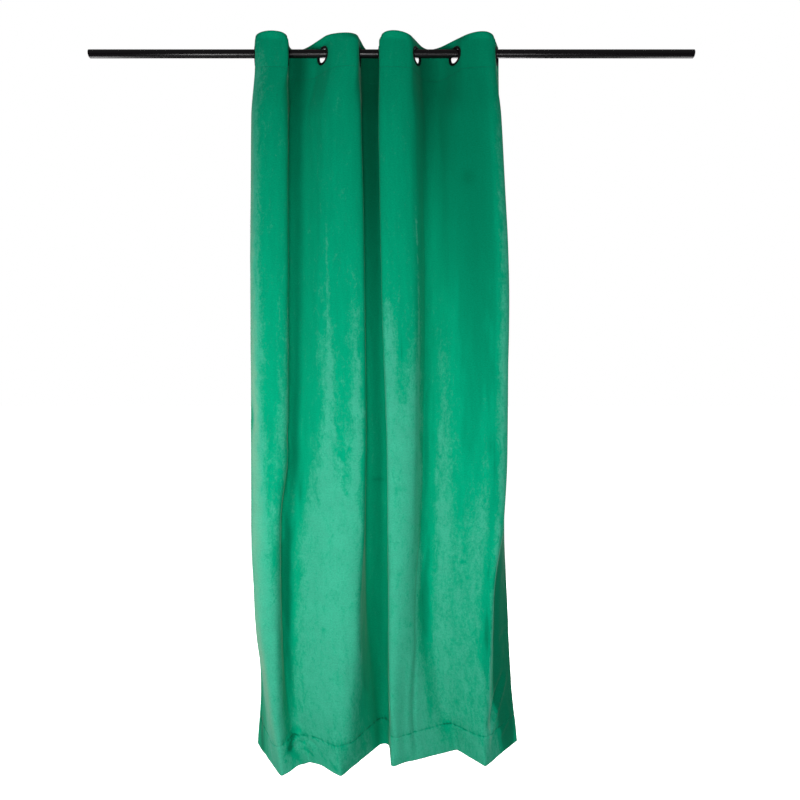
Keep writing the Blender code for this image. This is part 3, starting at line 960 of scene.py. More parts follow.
class Nodes:
    """A node tree with short calls for adding nodes and joining them."""

    def __init__(self, tree: bpy.types.NodeTree) -> None:
        """Hold the tree that the calls add to."""
        self.tree = tree

    def add(self, kind: str, settings: dict | None = None, **inputs: Feed) -> bpy.types.Node:
        """Add a node.

        Args:
            kind: Blender's name for the node's type.
            settings: Its properties, by name.
            **inputs: Its sockets, by name with _ for a space: a value, or another node's output.

        Returns:
            The new node.
        """
        node = self.tree.nodes.new(kind)
        for name, value in (settings or {}).items():
            setattr(node, name, value)
        self.feed_all(node, **inputs)
        return node

    def feed(self, socket: bpy.types.NodeSocket, value: Feed) -> None:
        """Join a socket to an output, or set its value.

        Args:
            socket: The node's input.
            value: The output to join, or the value to set.
        """
        if isinstance(value, bpy.types.NodeSocket):
            self.tree.links.new(value, socket)
        else:
            socket.default_value = value

    def feed_all(self, node: bpy.types.Node, **inputs: Feed) -> None:
        """Feed a node's sockets, each by its name with _ for a space."""
        for name, value in inputs.items():
            self.feed(node.inputs[name.replace("_", " ")], value)

    def maths(self, operation: str, first: Feed, second: Feed) -> bpy.types.NodeSocket:
        """Do a sum on two values.

        Args:
            operation: Blender's name for the sum.
            first: The first value.
            second: The second value.

        Returns:
            The result.
        """
        node = self.add("ShaderNodeMath", {"operation": operation})
        self.feed(node.inputs[0], first)
        self.feed(node.inputs[1], second)
        return node.outputs[0]

    def scaled(self, value: Feed, factor: Feed, offset: Feed) -> bpy.types.NodeSocket:
        """Return a value times a factor, plus an offset."""
        return self.maths("ADD", self.maths("MULTIPLY", value, factor), offset)

    def swing(self, share: Feed, width: float) -> bpy.types.NodeSocket:
        """Return a share from 0 to 1 as a swing of a given width about nought."""
        return self.maths("MULTIPLY", self.maths("SUBTRACT", share, 0.5), width)

    def ease(self, value: Feed, low: float, high: float) -> bpy.types.NodeSocket:
        """Ease a value.

        Args:
            value: The value to ease.
            low: Where the result is 0.
            high: Where it is 1, which may lie below low.

        Returns:
            The eased share, from 0 to 1.
        """
        node = self.add("ShaderNodeMapRange", {"interpolation_type": "SMOOTHSTEP"}, Value=value)
        self.feed_all(node, From_Min=low, From_Max=high)
        return node.outputs["Result"]

    def blend(self, share: Feed, first: Feed, second: Feed) -> bpy.types.NodeSocket:
        """Mix two colours.

        Args:
            share: How much of the second colour to take, from 0 to 1.
            first: The first colour.
            second: The second colour.

        Returns:
            The mixed colour.
        """
        node = self.add("ShaderNodeMix", {"data_type": "RGBA"})
        self.feed(node.inputs["Factor"], share)
        for socket, value in zip([s for s in node.inputs if s.type == "RGBA"], (first, second)):
            self.feed(socket, (*value, 1.0) if isinstance(value, tuple) else value)
        return next(s for s in node.outputs if s.type == "RGBA")

    def blend_shaders(self, share: Feed, first: Feed, second: Feed) -> bpy.types.NodeSocket:
        """Mix two shaders.

        Args:
            share: How much of the second shader to take, from 0 to 1.
            first: The first shader's output.
            second: The second shader's output.

        Returns:
            The mixed shader's output.
        """
        mix = self.add("ShaderNodeMixShader")
        for socket, value in zip(mix.inputs, (share, first, second)):
            self.feed(socket, value)
        return mix.outputs[0]

    def bump(self, amount: Spot, **inputs: Feed) -> bpy.types.NodeSocket:
        """Return a bump's normal, for its strength and its distance in metres, and its height."""
        return self.add("ShaderNodeBump", Strength=amount[0], Distance=amount[1], **inputs).outputs[0]

    def stretched(self, vector: Feed, scale: Feed) -> bpy.types.NodeSocket:
        """Scale a vector along each axis.

        Args:
            vector: The vector.
            scale: Its three factors.

        Returns:
            The scaled vector.
        """
        node = self.add("ShaderNodeVectorMath", {"operation": "MULTIPLY"})
        self.feed(node.inputs[0], vector)
        self.feed(node.inputs[1], scale)
        return node.outputs[0]


@dataclass(frozen=True)
class Cloud:
    """Noise over a surface: its scale and character, and what the place is stretched by."""

    scale: float
    detail: float
    roughness: float
    distortion: float = 0.0
    stretch: Triple | None = None

    def over(self, nodes: Nodes, place: Feed) -> bpy.types.NodeSocket:
        """Lay the noise over a surface.

        Args:
            nodes: The tree that it is added to.
            place: The surface's own coordinates.

        Returns:
            The noise, from 0 to 1.
        """
        if self.stretch:
            place = nodes.stretched(place, self.stretch)
        node = nodes.add("ShaderNodeTexNoise", Vector=place, Scale=self.scale, Detail=self.detail,
                         Roughness=self.roughness, Distortion=self.distortion)
        return node.outputs["Fac"]


@dataclass
class SharedEffects:
    """The shader effects that more than one finish uses, each a node group that is built once."""

    fibres: Cloud = Cloud(900.0, 2.0, 0.6)
    tufts: Cloud = Cloud(170.0, 4.0, 0.75, stretch=(1.0, 1.35, 1.0))
    fibre_share: float = 0.35
    rubs: Cloud = Cloud(140.0, 5.0, 0.65, stretch=(0.15, 1.0, 1.0))
    rubbed: Spot = (0.45, 0.75)
    specks: Cloud = Cloud(900.0, 2.0, 0.7)
    dusty: Spot = (0.66, 0.78)
    fibre: bpy.types.NodeTree = field(init=False)
    handled: bpy.types.NodeTree = field(init=False)

    def __post_init__(self) -> None:
        """Build the groups."""
        self.fibre = self.fibre_grain()
        self.handled = self.handling_marks()

    @staticmethod
    def new_group(name: str, inputs: dict[str, tuple[str, float | None]], outputs: tuple[str, ...]
                  ) -> tuple[bpy.types.NodeTree, Nodes, bpy.types.Node, bpy.types.Node]:
        """Start a node group.

        Args:
            name: The group's name.
            inputs: Each input's socket type and default, by name.
            outputs: The names of its values.

        Returns:
            The tree, its calls, and its input and output nodes.
        """
        tree = bpy.data.node_groups.new(name, "ShaderNodeTree")
        for label, (kind, value) in inputs.items():
            socket = tree.interface.new_socket(label, in_out="INPUT", socket_type=kind)
            if value is not None:
                socket.default_value = value
        for label in outputs:
            tree.interface.new_socket(label, in_out="OUTPUT", socket_type="NodeSocketFloat")
        nodes = Nodes(tree)
        return tree, nodes, tree.nodes.new("NodeGroupInput"), tree.nodes.new("NodeGroupOutput")

    def fibre_grain(self) -> bpy.types.NodeTree:
        """Build the grain of short fibres that run down a cloth or along a thread.

        Returns:
            The group, which takes a place, a fineness and a fibre's length, and puts out shade and height.
        """
        tree, nodes, given, out = self.new_group(
            "Fibre Grain",
            {"Place": ("NodeSocketVector", None), "Fineness": ("NodeSocketFloat", 900.0),
             "Length": ("NodeSocketFloat", 4.0)},
            ("Shade", "Height"),
        )
        squeeze = nodes.add("ShaderNodeCombineXYZ", X=1.0, Z=1.0,
                            Y=nodes.maths("DIVIDE", 1.0, given.outputs["Length"]))
        fine = self.fibres.over(nodes, nodes.stretched(given.outputs["Place"], squeeze.outputs[0]))
        nodes.feed(fine.node.inputs["Scale"], given.outputs["Fineness"])
        tufts = nodes.maths("MULTIPLY", self.tufts.over(nodes, given.outputs["Place"]), 1 - self.fibre_share)
        nodes.feed_all(out, Shade=nodes.scaled(fine, self.fibre_share, tufts), Height=fine)
        return tree

    def handling_marks(self) -> bpy.types.NodeTree:
        """Build the faint rub marks and dust that handling leaves on a hard finish.

        Returns:
            The group, which takes a place and an amount, and puts out rub, dust and height.
        """
        tree, nodes, given, out = self.new_group(
            "Handling Marks",
            {"Place": ("NodeSocketVector", None), "Amount": ("NodeSocketFloat", 0.5)},
            ("Rub", "Dust", "Height"),
        )
        rub = self.rubs.over(nodes, given.outputs["Place"])
        dust = self.specks.over(nodes, given.outputs["Place"])
        nodes.feed_all(
            out,
            Rub=nodes.maths("MULTIPLY", nodes.ease(rub, *self.rubbed), given.outputs["Amount"]),
            Dust=nodes.maths("MULTIPLY", nodes.ease(dust, *self.dusty), given.outputs["Amount"]),
            Height=rub,
        )
        return tree


def new_material(name: str) -> tuple[bpy.types.Material, Nodes, bpy.types.Node]:
    """Start a material.

    Args:
        name: The material's name.

    Returns:
        The material, its node calls, and its Principled shader.
    """
    material = bpy.data.materials.new(name)
    material.use_nodes = True
    nodes = Nodes(material.node_tree)
    return material, nodes, material.node_tree.nodes["Principled BSDF"]


def place_group(nodes: Nodes, group: bpy.types.NodeTree, **inputs: Feed) -> bpy.types.Node:
    """Add a shared effect to a material, with its own values."""
    return nodes.add("ShaderNodeGroup", {"node_tree": group}, **inputs)


CLOTH_MAP = "cloth"
# The nap attribute also carries painted shade and painted sheen.
NAP_AND_PAINTED_LIGHT = "nap_and_painted_light"


@dataclass(frozen=True)
class VelvetFinish:
    """Short cotton pile: dark and saturated where it lies smooth, pale where it is brushed; that paleness is
    partly painted sheen where the folds turn aside.

    Where its nap is above 1 it is deep and dark, from deep pile and painted shade, and below 0 it takes a
    painted tan sheen rim. mottle and speckle make the edges between those uneven, by the swings that are
    named after them.
    """

    name: str = "emerald velvet"
    smooth: Colour = (0.0, 0.300, 0.155)
    # Partly painted sheen: the pale of the brushed pile where the folds turn aside.
    brushed_and_sheen: Colour = (0.040, 0.360, 0.226)
    # Painted shade in the valleys, on faces turned from the lights and on the returns, and the dark of deep
    # pile and the hem seam.
    deep_and_painted_shade: Colour = (0.0, 0.155, 0.076)
    # Painted sheen: the tan rim colour along silhouettes and fold edges.
    sheen_rim: Colour = (0.185, 0.385, 0.262)
    roughness: float = 0.92
    specular: float = 0.03
    sheen: float = 0.2
    sheen_roughness: float = 0.3
    sheen_tint: Colour = (0.6, 0.95, 0.74)
    mottle: Cloud = Cloud(42.0, 6.0, 0.68, 0.7, (1.0, 0.42, 1.0))
    mottle_swing: float = 1.9
    mottle_bump: Spot = (0.35, 0.0012)
    speckle: Cloud = Cloud(120.0, 4.0, 0.7, 0.4, (1.0, 0.7, 1.0))
    speckle_swing: float = 1.5
    lying_nap: Spot = (-0.14, 0.94)
    deep_and_painted_shade_nap: Spot = (0.98, 1.6)
    sheen_rim_nap: Spot = (0.0, -0.8)
    sheen_rim_swing: float = 0.12
    strokes: Cloud = Cloud(60.0, 3.0, 0.5, stretch=(1.0, 0.12, 1.0))
    stroke_range: Spot = (0.25, 0.72)
    stroke_shade: float = 0.92
    clouds: Cloud = Cloud(16.0, 4.0, 0.6)
    cloud_range: Spot = (0.3, 0.68)
    cloud_shade: float = 0.93
    bars: Cloud = Cloud(150.0, 2.0, 0.5, stretch=(0.06, 1.0, 1.0))
    bar_range: Spot = (0.54, 0.66)
    barred: Cloud = Cloud(5.0, 1.0, 0.5)
    barred_range: Spot = (0.48, 0.62)
    bar_strength: float = 0.15
    fineness: float = 1100.0
    fibre_length: float = 3.0
    fibre_bump: Spot = (0.25, 0.0006)
    grain_strength: float = 1.2
    grain_floor: float = 0.4

    def build(self, effects: SharedEffects) -> bpy.types.Material:
        """Build the material.

        Args:
            effects: The shared effects, for the grain of its fibres.

        Returns:
            The material.
        """
        material, nodes, shader = new_material(self.name)
        place = nodes.add("ShaderNodeUVMap", {"uv_map": CLOTH_MAP}).outputs["UV"]
        nap_and_painted_light = nodes.add("ShaderNodeAttribute", {"attribute_name": NAP_AND_PAINTED_LIGHT}).outputs["Fac"]
        mottle = self.mottle.over(nodes, place)
        speckle = self.speckle.over(nodes, place)
        wobble = nodes.maths("ADD", nodes.swing(mottle, self.mottle_swing),
                             nodes.swing(speckle, self.speckle_swing))
        lying = nodes.ease(nodes.maths("ADD", nap_and_painted_light, wobble), *self.lying_nap)
        colour = nodes.blend(lying, self.brushed_and_sheen_colour(nodes, place), self.smooth_colour(nodes, place))
        # Painted shade where the nap value is above 1.
        colour = nodes.blend(nodes.ease(nap_and_painted_light, *self.deep_and_painted_shade_nap), colour, self.deep_and_painted_shade)
        # Painted sheen rim where the nap value is below 0.
        sheen_rim_share = nodes.ease(nodes.scaled(wobble, self.sheen_rim_swing, nap_and_painted_light), *self.sheen_rim_nap)
        colour = nodes.blend(sheen_rim_share, colour, self.sheen_rim)
        grain = place_group(nodes, effects.fibre, Place=place, Fineness=self.fineness,
                            Length=self.fibre_length)
        shade = nodes.scaled(grain.outputs["Shade"], self.grain_strength, self.grain_floor)
        tone = nodes.add("ShaderNodeHueSaturation", Color=colour, Value=shade)
        fine = nodes.bump(self.fibre_bump, Height=grain.outputs["Height"])
        broad = nodes.bump(self.mottle_bump, Height=mottle, Normal=fine)
        nodes.feed_all(
            shader, Base_Color=tone.outputs["Color"], Normal=broad, Roughness=self.roughness,
            Specular_IOR_Level=self.specular, Sheen_Weight=self.sheen, Sheen_Roughness=self.sheen_roughness,
            Sheen_Tint=(*self.sheen_tint, 1.0),
        )
        return material

    def smooth_colour(self, nodes: Nodes, place: Feed) -> bpy.types.NodeSocket:
        """Make the smooth nap's colour, with soft uprights where it was stroked.

        Args:
            nodes: The material's tree.
            place: The place on the flat cloth, in metres.

        Returns:
            The colour.
        """
        strokes = self.strokes.over(nodes, place)
        darker = tuple(value * self.stroke_shade for value in self.smooth)
        return nodes.blend(nodes.ease(strokes, *self.stroke_range), darker, self.smooth)

    def brushed_and_sheen_colour(self, nodes: Nodes, place: Feed) -> bpy.types.NodeSocket:
        """Make the brushed nap's colour, partly painted sheen, with clouds and the faint bars of the weave.

        Args:
            nodes: The material's tree.
            place: The place on the flat cloth, in metres.

        Returns:
            The colour.
        """
        clouds = nodes.ease(self.clouds.over(nodes, place), *self.cloud_range)
        bars = nodes.ease(self.bars.over(nodes, place), *self.bar_range)
        here = nodes.ease(self.barred.over(nodes, place), *self.barred_range)
        duller = tuple(value * self.cloud_shade for value in self.brushed_and_sheen)
        colour = nodes.blend(clouds, duller, self.brushed_and_sheen)
        share = nodes.maths("MULTIPLY", nodes.maths("MULTIPLY", bars, here), self.bar_strength)
        return nodes.blend(share, colour, self.smooth)


@dataclass(frozen=True)
class ReverseFinish:
    """The velvet's plain woven back, flatter in colour and without pile."""

    name: str = "velvet reverse"
    colour: Colour = (0.003, 0.130, 0.072)
    pale: Colour = (0.015, 0.195, 0.115)
    roughness: float = 0.85
    specular: float = 0.12
    thread_scale: float = 70.0
    uneven: float = 0.6
    fineness: float = 700.0
    fibre_length: float = 1.5
    weave_share: float = 0.5
    weave_bump: Spot = (0.3, 0.0003)

    def build(self, effects: SharedEffects) -> bpy.types.Material:
        """Build the material.

        Args:
            effects: The shared effects, for the grain of its threads.

        Returns:
            The material.
        """
        material, nodes, shader = new_material(self.name)
        place = nodes.add("ShaderNodeUVMap", {"uv_map": CLOTH_MAP}).outputs["UV"]
        grain = place_group(nodes, effects.fibre, Place=place, Fineness=self.fineness,
                            Length=self.fibre_length)
        warp, weft = (
            nodes.add("ShaderNodeTexWave", {"bands_direction": direction}, Vector=place,
                      Scale=self.thread_scale, Distortion=self.uneven, Detail=1.0).outputs["Fac"]
            for direction in ("X", "Y")
        )
        weave = nodes.maths("MULTIPLY", warp, weft)
        rest = nodes.maths("MULTIPLY", grain.outputs["Shade"], 1 - self.weave_share)
        colour = nodes.blend(nodes.scaled(weave, self.weave_share, rest), self.colour, self.pale)
        bump = nodes.bump(self.weave_bump, Height=weave)
        nodes.feed_all(shader, Base_Color=colour, Normal=bump, Roughness=self.roughness,
                       Specular_IOR_Level=self.specular)
        return material


@dataclass(frozen=True)
class ThreadFinish:
    """Spun sewing thread, a little darker than the cloth."""

    name: str = "green sewing thread"
    dark: Colour = (0.002, 0.120, 0.066)
    light: Colour = (0.006, 0.200, 0.118)
    roughness: float = 0.6
    specular: float = 0.2
    fineness: float = 2600.0
    fibre_bump: Spot = (0.4, 0.0001)

    def build(self, effects: SharedEffects) -> bpy.types.Material:
        """Build the material.

        Args:
            effects: The shared effects, for the grain of its fibres.

        Returns:
            The material.
        """
        material, nodes, shader = new_material(self.name)
        place = nodes.add("ShaderNodeTexCoord").outputs["Object"]
        grain = place_group(nodes, effects.fibre, Place=place, Fineness=self.fineness, Length=1.0)
        colour = nodes.blend(grain.outputs["Shade"], self.dark, self.light)
        bump = nodes.bump(self.fibre_bump, Height=grain.outputs["Height"])
        nodes.feed_all(shader, Base_Color=colour, Normal=bump, Roughness=self.roughness,
                       Specular_IOR_Level=self.specular)
        return material


@dataclass(frozen=True)
class HardFinish:
    """A black hard finish, of lacquer or of moulded plastic, with faint signs of handling."""

    name: str
    colour: Colour
    dust: Colour
    roughness: float
    rubbed_roughness: float
    specular: float
    handled: float
    rub_bump: Spot = (0.08, 0.0002)

    def build(self, effects: SharedEffects) -> bpy.types.Material:
        """Build the material.

        Args:
            effects: The shared effects, for its rub marks and dust.

        Returns:
            The material.
        """
        material, nodes, shader = new_material(self.name)
        place = nodes.add("ShaderNodeTexCoord").outputs["Object"]
        marks = place_group(nodes, effects.handled, Place=place, Amount=self.handled)
        colour = nodes.blend(marks.outputs["Dust"], self.colour, self.dust)
        rough = nodes.scaled(marks.outputs["Rub"], self.rubbed_roughness - self.roughness, self.roughness)
        bump = nodes.bump(self.rub_bump, Height=marks.outputs["Height"])
        nodes.feed_all(shader, Base_Color=colour, Roughness=rough, Normal=bump,
                       Specular_IOR_Level=self.specular)
        return material


ROD_LACQUER = HardFinish(
    name="black rod lacquer",
    colour=(0.003, 0.002, 0.003),
    dust=(0.02, 0.02, 0.02),
    roughness=0.26,
    rubbed_roughness=0.34,
    specular=0.36,
    handled=0.35,
)
EYELET_PLASTIC = HardFinish(
    name="black eyelet plastic",
    colour=(0.004, 0.004, 0.004),
    dust=(0.03, 0.03, 0.03),
    roughness=0.34,
    rubbed_roughness=0.5,
    specular=0.16,
    handled=0.5,
)


# The cloth

def link(name: str, mesh: bpy.types.Mesh, *materials: bpy.types.Material) -> bpy.types.Object:
    """Put a mesh in the scene as a piece of its own.

    Args:
        name: The piece's name.
        mesh: Its mesh.
        *materials: Its materials, in the order of their slots.

    Returns:
        The new object.
    """
    if not mesh.materials:
        for material in materials:
            mesh.materials.append(material)
    piece = bpy.data.objects.new(name, mesh)
    bpy.context.scene.collection.objects.link(piece)
    return piece


@dataclass
class ClothNet:
    """The net of places on the flat cloth that the sheet is built on, finer at its hem and eyelets."""

    plan: FoldPlan
    marks: ClothMarks
    eyelet_downs: list[float]
    flat_steps: int = 11
    bend_steps: int = 18
    edge_steps: int = 3
    heading_steps: int = 20
    body_steps: int = 158
    hem_steps: int = 17
    ring_steps: int = 3
    hole_radius: float = 28.0
    groove: tuple[float, ...] = (-4.0, -1.8, 0.0, 1.8, 4.0)

    def columns(self) -> np.ndarray:
        """Return where the net's columns run.

        Returns:
            The places across the panel, in mm.
        """
        marks = list(np.linspace(0, EDGE - STIFF, self.edge_steps + 1))
        for index in range(self.plan.eyelets):
            centre = self.plan.eyelet_across(index)
            marks.extend(np.linspace(centre - STIFF, centre + STIFF, self.flat_steps + 1)[1:])
            if index + 1 < self.plan.eyelets:
                after = self.plan.eyelet_across(index + 1) - STIFF
                marks.extend(np.linspace(centre + STIFF, after, self.bend_steps + 1)[1:])
        marks.extend(np.linspace(marks[-1], self.plan.width, self.edge_steps + 1)[1:])
        return np.array(marks)

    def rows(self) -> np.ndarray:
        """Return where the net's rows run, close together at the seams.

        Returns:
            The places down the panel, in mm.
        """
        seam, hem = self.marks.seam_down, self.plan.drop - self.marks.hem_height
        seam_rows = [seam + step for step in self.groove]
        hem_rows = [hem + step for step in self.groove]
        return np.concatenate([
            np.linspace(0, seam_rows[0], self.heading_steps + 1)[:-1],
            seam_rows[:-1],
            np.linspace(seam_rows[-1], hem_rows[0], self.body_steps + 1)[:-1],
            hem_rows[:-1],
            np.linspace(hem_rows[-1], self.plan.drop, self.hem_steps + 1),
        ])

    def build(self) -> tuple[np.ndarray, np.ndarray, np.ndarray]:
        """Return the net.

        Returns:
            The place across and the place down of each point, and the four points of each face.
        """
        columns, rows = self.columns(), self.rows()
        across, down = (grid.ravel() for grid in np.meshgrid(columns, rows))
        number = np.arange(across.size).reshape(len(rows), len(columns))
        open_cell = np.zeros((len(rows) - 1, len(columns) - 1), bool)
        extra_across, extra_down, faces = [], [], []
        count = across.size
        for index, centre_down in enumerate(self.eyelet_downs):
            centre = self.plan.eyelet_across(index)
            left, right = (int(np.argmin(abs(columns - centre - step))) for step in (-STIFF, STIFF))
            upper, lower = (int(np.argmin(abs(rows - centre_down - step))) for step in (-STIFF, STIFF))
            open_cell[upper:lower, left:right] = True
            loop = np.concatenate([
                number[upper, left:right], number[upper:lower, right],
                number[lower, right:left:-1], number[lower:upper:-1, left],
            ])
            aside, below = across[loop] - centre, down[loop] - centre_down
            turn = np.arctan2(below, aside)
            last = loop
            for step in range(1, self.ring_steps + 1):
                share = step / self.ring_steps
                ring = count + np.arange(len(loop))
                extra_across.append(centre + aside + (self.hole_radius * np.cos(turn) - aside) * share)
                extra_down.append(centre_down + below + (self.hole_radius * np.sin(turn) - below) * share)
                faces.append(np.stack([last, ring, np.roll(ring, -1), np.roll(last, -1)], 1))
                last = ring
                count += len(loop)
        upper_left, lower_left = number[:-1, :-1], number[1:, :-1]
        lower_right, upper_right = number[1:, 1:], number[:-1, 1:]
        cells = np.stack([upper_left, lower_left, lower_right, upper_right], -1)[~open_cell]
        faces = np.concatenate([cells] + faces)
        across = np.concatenate([across] + extra_across)
        down = np.concatenate([down] + extra_down)
        used, tidy = np.unique(faces, return_inverse=True)
        return across[used], down[used], tidy.reshape(-1, 4)


@dataclass
class VelvetPanel:
    """The curtain panel: a sheet of velvet with a turned hem, side hems and heading."""

    plan: FoldPlan
    marks: ClothMarks
    half_thickness: float = 1.0
    turned_layer: float = 1.3
    face_rise: float = 0.25
    side_hem: float = 24.0
    layer_past_seam: float = 3.0
    layer_step: float = 3.0
    eyelet_flat: Spot = (33.0, 46.0)
    rim_bulge: float = 0.42

    def layers(self, across: np.ndarray, down: np.ndarray) -> np.ndarray:
        """Return where the cloth is turned over and doubled.

        Args:
            across: Places across the panel in mm.
            down: Places down the panel in mm, as many.

        Returns:
            1 on a hem or the heading, 0 elsewhere, eased over a short step.
        """
        hem = self.plan.drop - self.marks.hem_height - self.layer_past_seam
        heading = self.marks.seam_down + self.layer_past_seam
        share = smooth_step(down, hem - self.layer_step, hem)
        share = np.maximum(share, 1 - smooth_step(down, heading, heading + self.layer_step))
        from_edge = np.minimum(across, self.plan.width - across)
        return np.maximum(share, 1 - smooth_step(from_edge, self.side_hem, self.side_hem + self.layer_step))

    def surface(self, across: np.ndarray, down: np.ndarray, pile_side: bool) -> tuple[np.ndarray, np.ndarray]:
        """Return a face of the finished cloth.

        Args:
            across: Places across the panel in mm.
            down: Places down the panel in mm.
            pile_side: Whether to give the face with the pile, or the reverse.

        Returns:
            The points in metres, and the unit vectors out of the pile side.
        """
        out = self.plan.pile_way(across, down)
        clear = smooth_step(self.marks.eyelet_distance(self.plan, across, down), *self.eyelet_flat)
        doubled = self.layers(across, down) * clear
        relief = self.marks.relief(self.plan, across, down)
        if pile_side:
            off = relief + self.half_thickness + self.face_rise * doubled
        else:
            off = relief - self.half_thickness - self.turned_layer * doubled
        points = self.plan.place(across, down) + out * off[:, None] * MM
        points[:, 2] += sum(hem.lift(across, down) for hem in HEM_LIFTS) * MM
        return points, out

    def build(self, net: ClothNet, velvet: bpy.types.Material,
              reverse: bpy.types.Material) -> bpy.types.Object:
        """Build the sheet.

        Args:
            net: The net of places that it is built on.
            velvet: The pile side's material.
            reverse: The back's material.

        Returns:
            The panel.
        """
        across, down, faces = net.build()
        front, out = self.surface(across, down, True)
        back, _ = self.surface(across, down, False)
        count = len(across)
        edges = np.concatenate([faces[:, [k, (k + 1) % 4]] for k in range(4)])
        key = np.sort(edges, axis=1) @ np.array([count, 1])
        _, first, times = np.unique(key, return_index=True, return_counts=True)
        rim_edges = edges[first[times == 1]]
        rim_points = np.unique(rim_edges)
        slot = np.zeros(count, int)
        slot[rim_points] = np.arange(len(rim_points))
        outward = np.zeros((len(rim_points), 3))
        step = unit(np.cross(front[rim_edges[:, 1]] - front[rim_edges[:, 0]], out[rim_edges[:, 0]]))
        for end in (0, 1):
            np.add.at(outward, slot[rim_edges[:, end]], step)
        thick = np.linalg.norm(front - back, axis=1)[rim_points, None]
        rim = (front[rim_points] + back[rim_points]) / 2 + unit(outward) * thick * self.rim_bulge
        start, end = rim_edges[:, 0], rim_edges[:, 1]
        rim_start, rim_end = 2 * count + slot[start], 2 * count + slot[end]
        near = np.stack([end, start, rim_start, rim_end], 1)
        far = np.stack([rim_end, rim_start, count + start, count + end], 1)
        all_faces = np.concatenate([faces, faces[:, ::-1] + count, near, far])
        mesh = bpy.data.meshes.new("velvet_panel_sheet")
        mesh.from_pydata(np.concatenate([front, back, rim]).tolist(), [], all_faces.tolist())
        all_across = np.concatenate([across, across, across[rim_points]])
        all_down = np.concatenate([down, down, down[rim_points]])
        centre_across, centre_down = all_across[all_faces].mean(1), all_down[all_faces].mean(1)
        bare_back = self.layers(centre_across, centre_down) < 0.5
        side = np.zeros(len(all_faces), int)
        side[len(faces):2 * len(faces)] = bare_back[len(faces):2 * len(faces)]
        panel = link("velvet_panel_sheet", mesh, velvet, reverse)
        mesh.polygons.foreach_set("material_index", side)
        self.mark(mesh, all_across, all_down, all_faces)
        mesh.shade_smooth()
        return panel

    def mark(self, mesh: bpy.types.Mesh, across: np.ndarray, down: np.ndarray, faces: np.ndarray) -> None:
        """Give the mesh its map of the flat cloth, in metres, and its nap, which also carries painted shade
        and painted sheen.

        Args:
            mesh: The sheet's mesh.
            across: The place across the panel of each of its points, in mm.
            down: The place down the panel of each, in mm.
            faces: The four points of each face.
        """
        layer = mesh.uv_layers.new(name=CLOTH_MAP)
        places = np.stack([across[faces.ravel()], down[faces.ravel()]], 1) * MM
        layer.data.foreach_set("uv", places.ravel())
        nap_and_painted_light = mesh.attributes.new(NAP_AND_PAINTED_LIGHT, "FLOAT", "POINT")
        nap_and_painted_light.data.foreach_set("value", self.marks.smoothness(self.plan, across, down))
        mesh.update()


class Side(Enum):
    """The two faces of the cloth."""

    PILE = 1
    REVERSE = -1


@dataclass
class StitchLine:
    """A line of machine stitches on both faces of the cloth, from one place on it to another, in mm."""

    name: str
    start: Spot
    end: Spot
    stitch: float = 3.4
    pitch: float = 4.4
    thread: float = 0.45
    sides: int = 5

    def stitch_spots(self) -> tuple[np.ndarray, np.ndarray]:
        """Return where the stitches of the line lie.

        Returns:
            The places where they start, one in each row, and the places where they end.
        """
        start, end = np.array(self.start), np.array(self.end)
        size = float(np.linalg.norm(end - start))
        way = (end - start) / size
        begins = np.arange(self.pitch / 2, size - self.stitch, self.pitch)
        return start + begins[:, None] * way, start + (begins[:, None] + self.stitch) * way


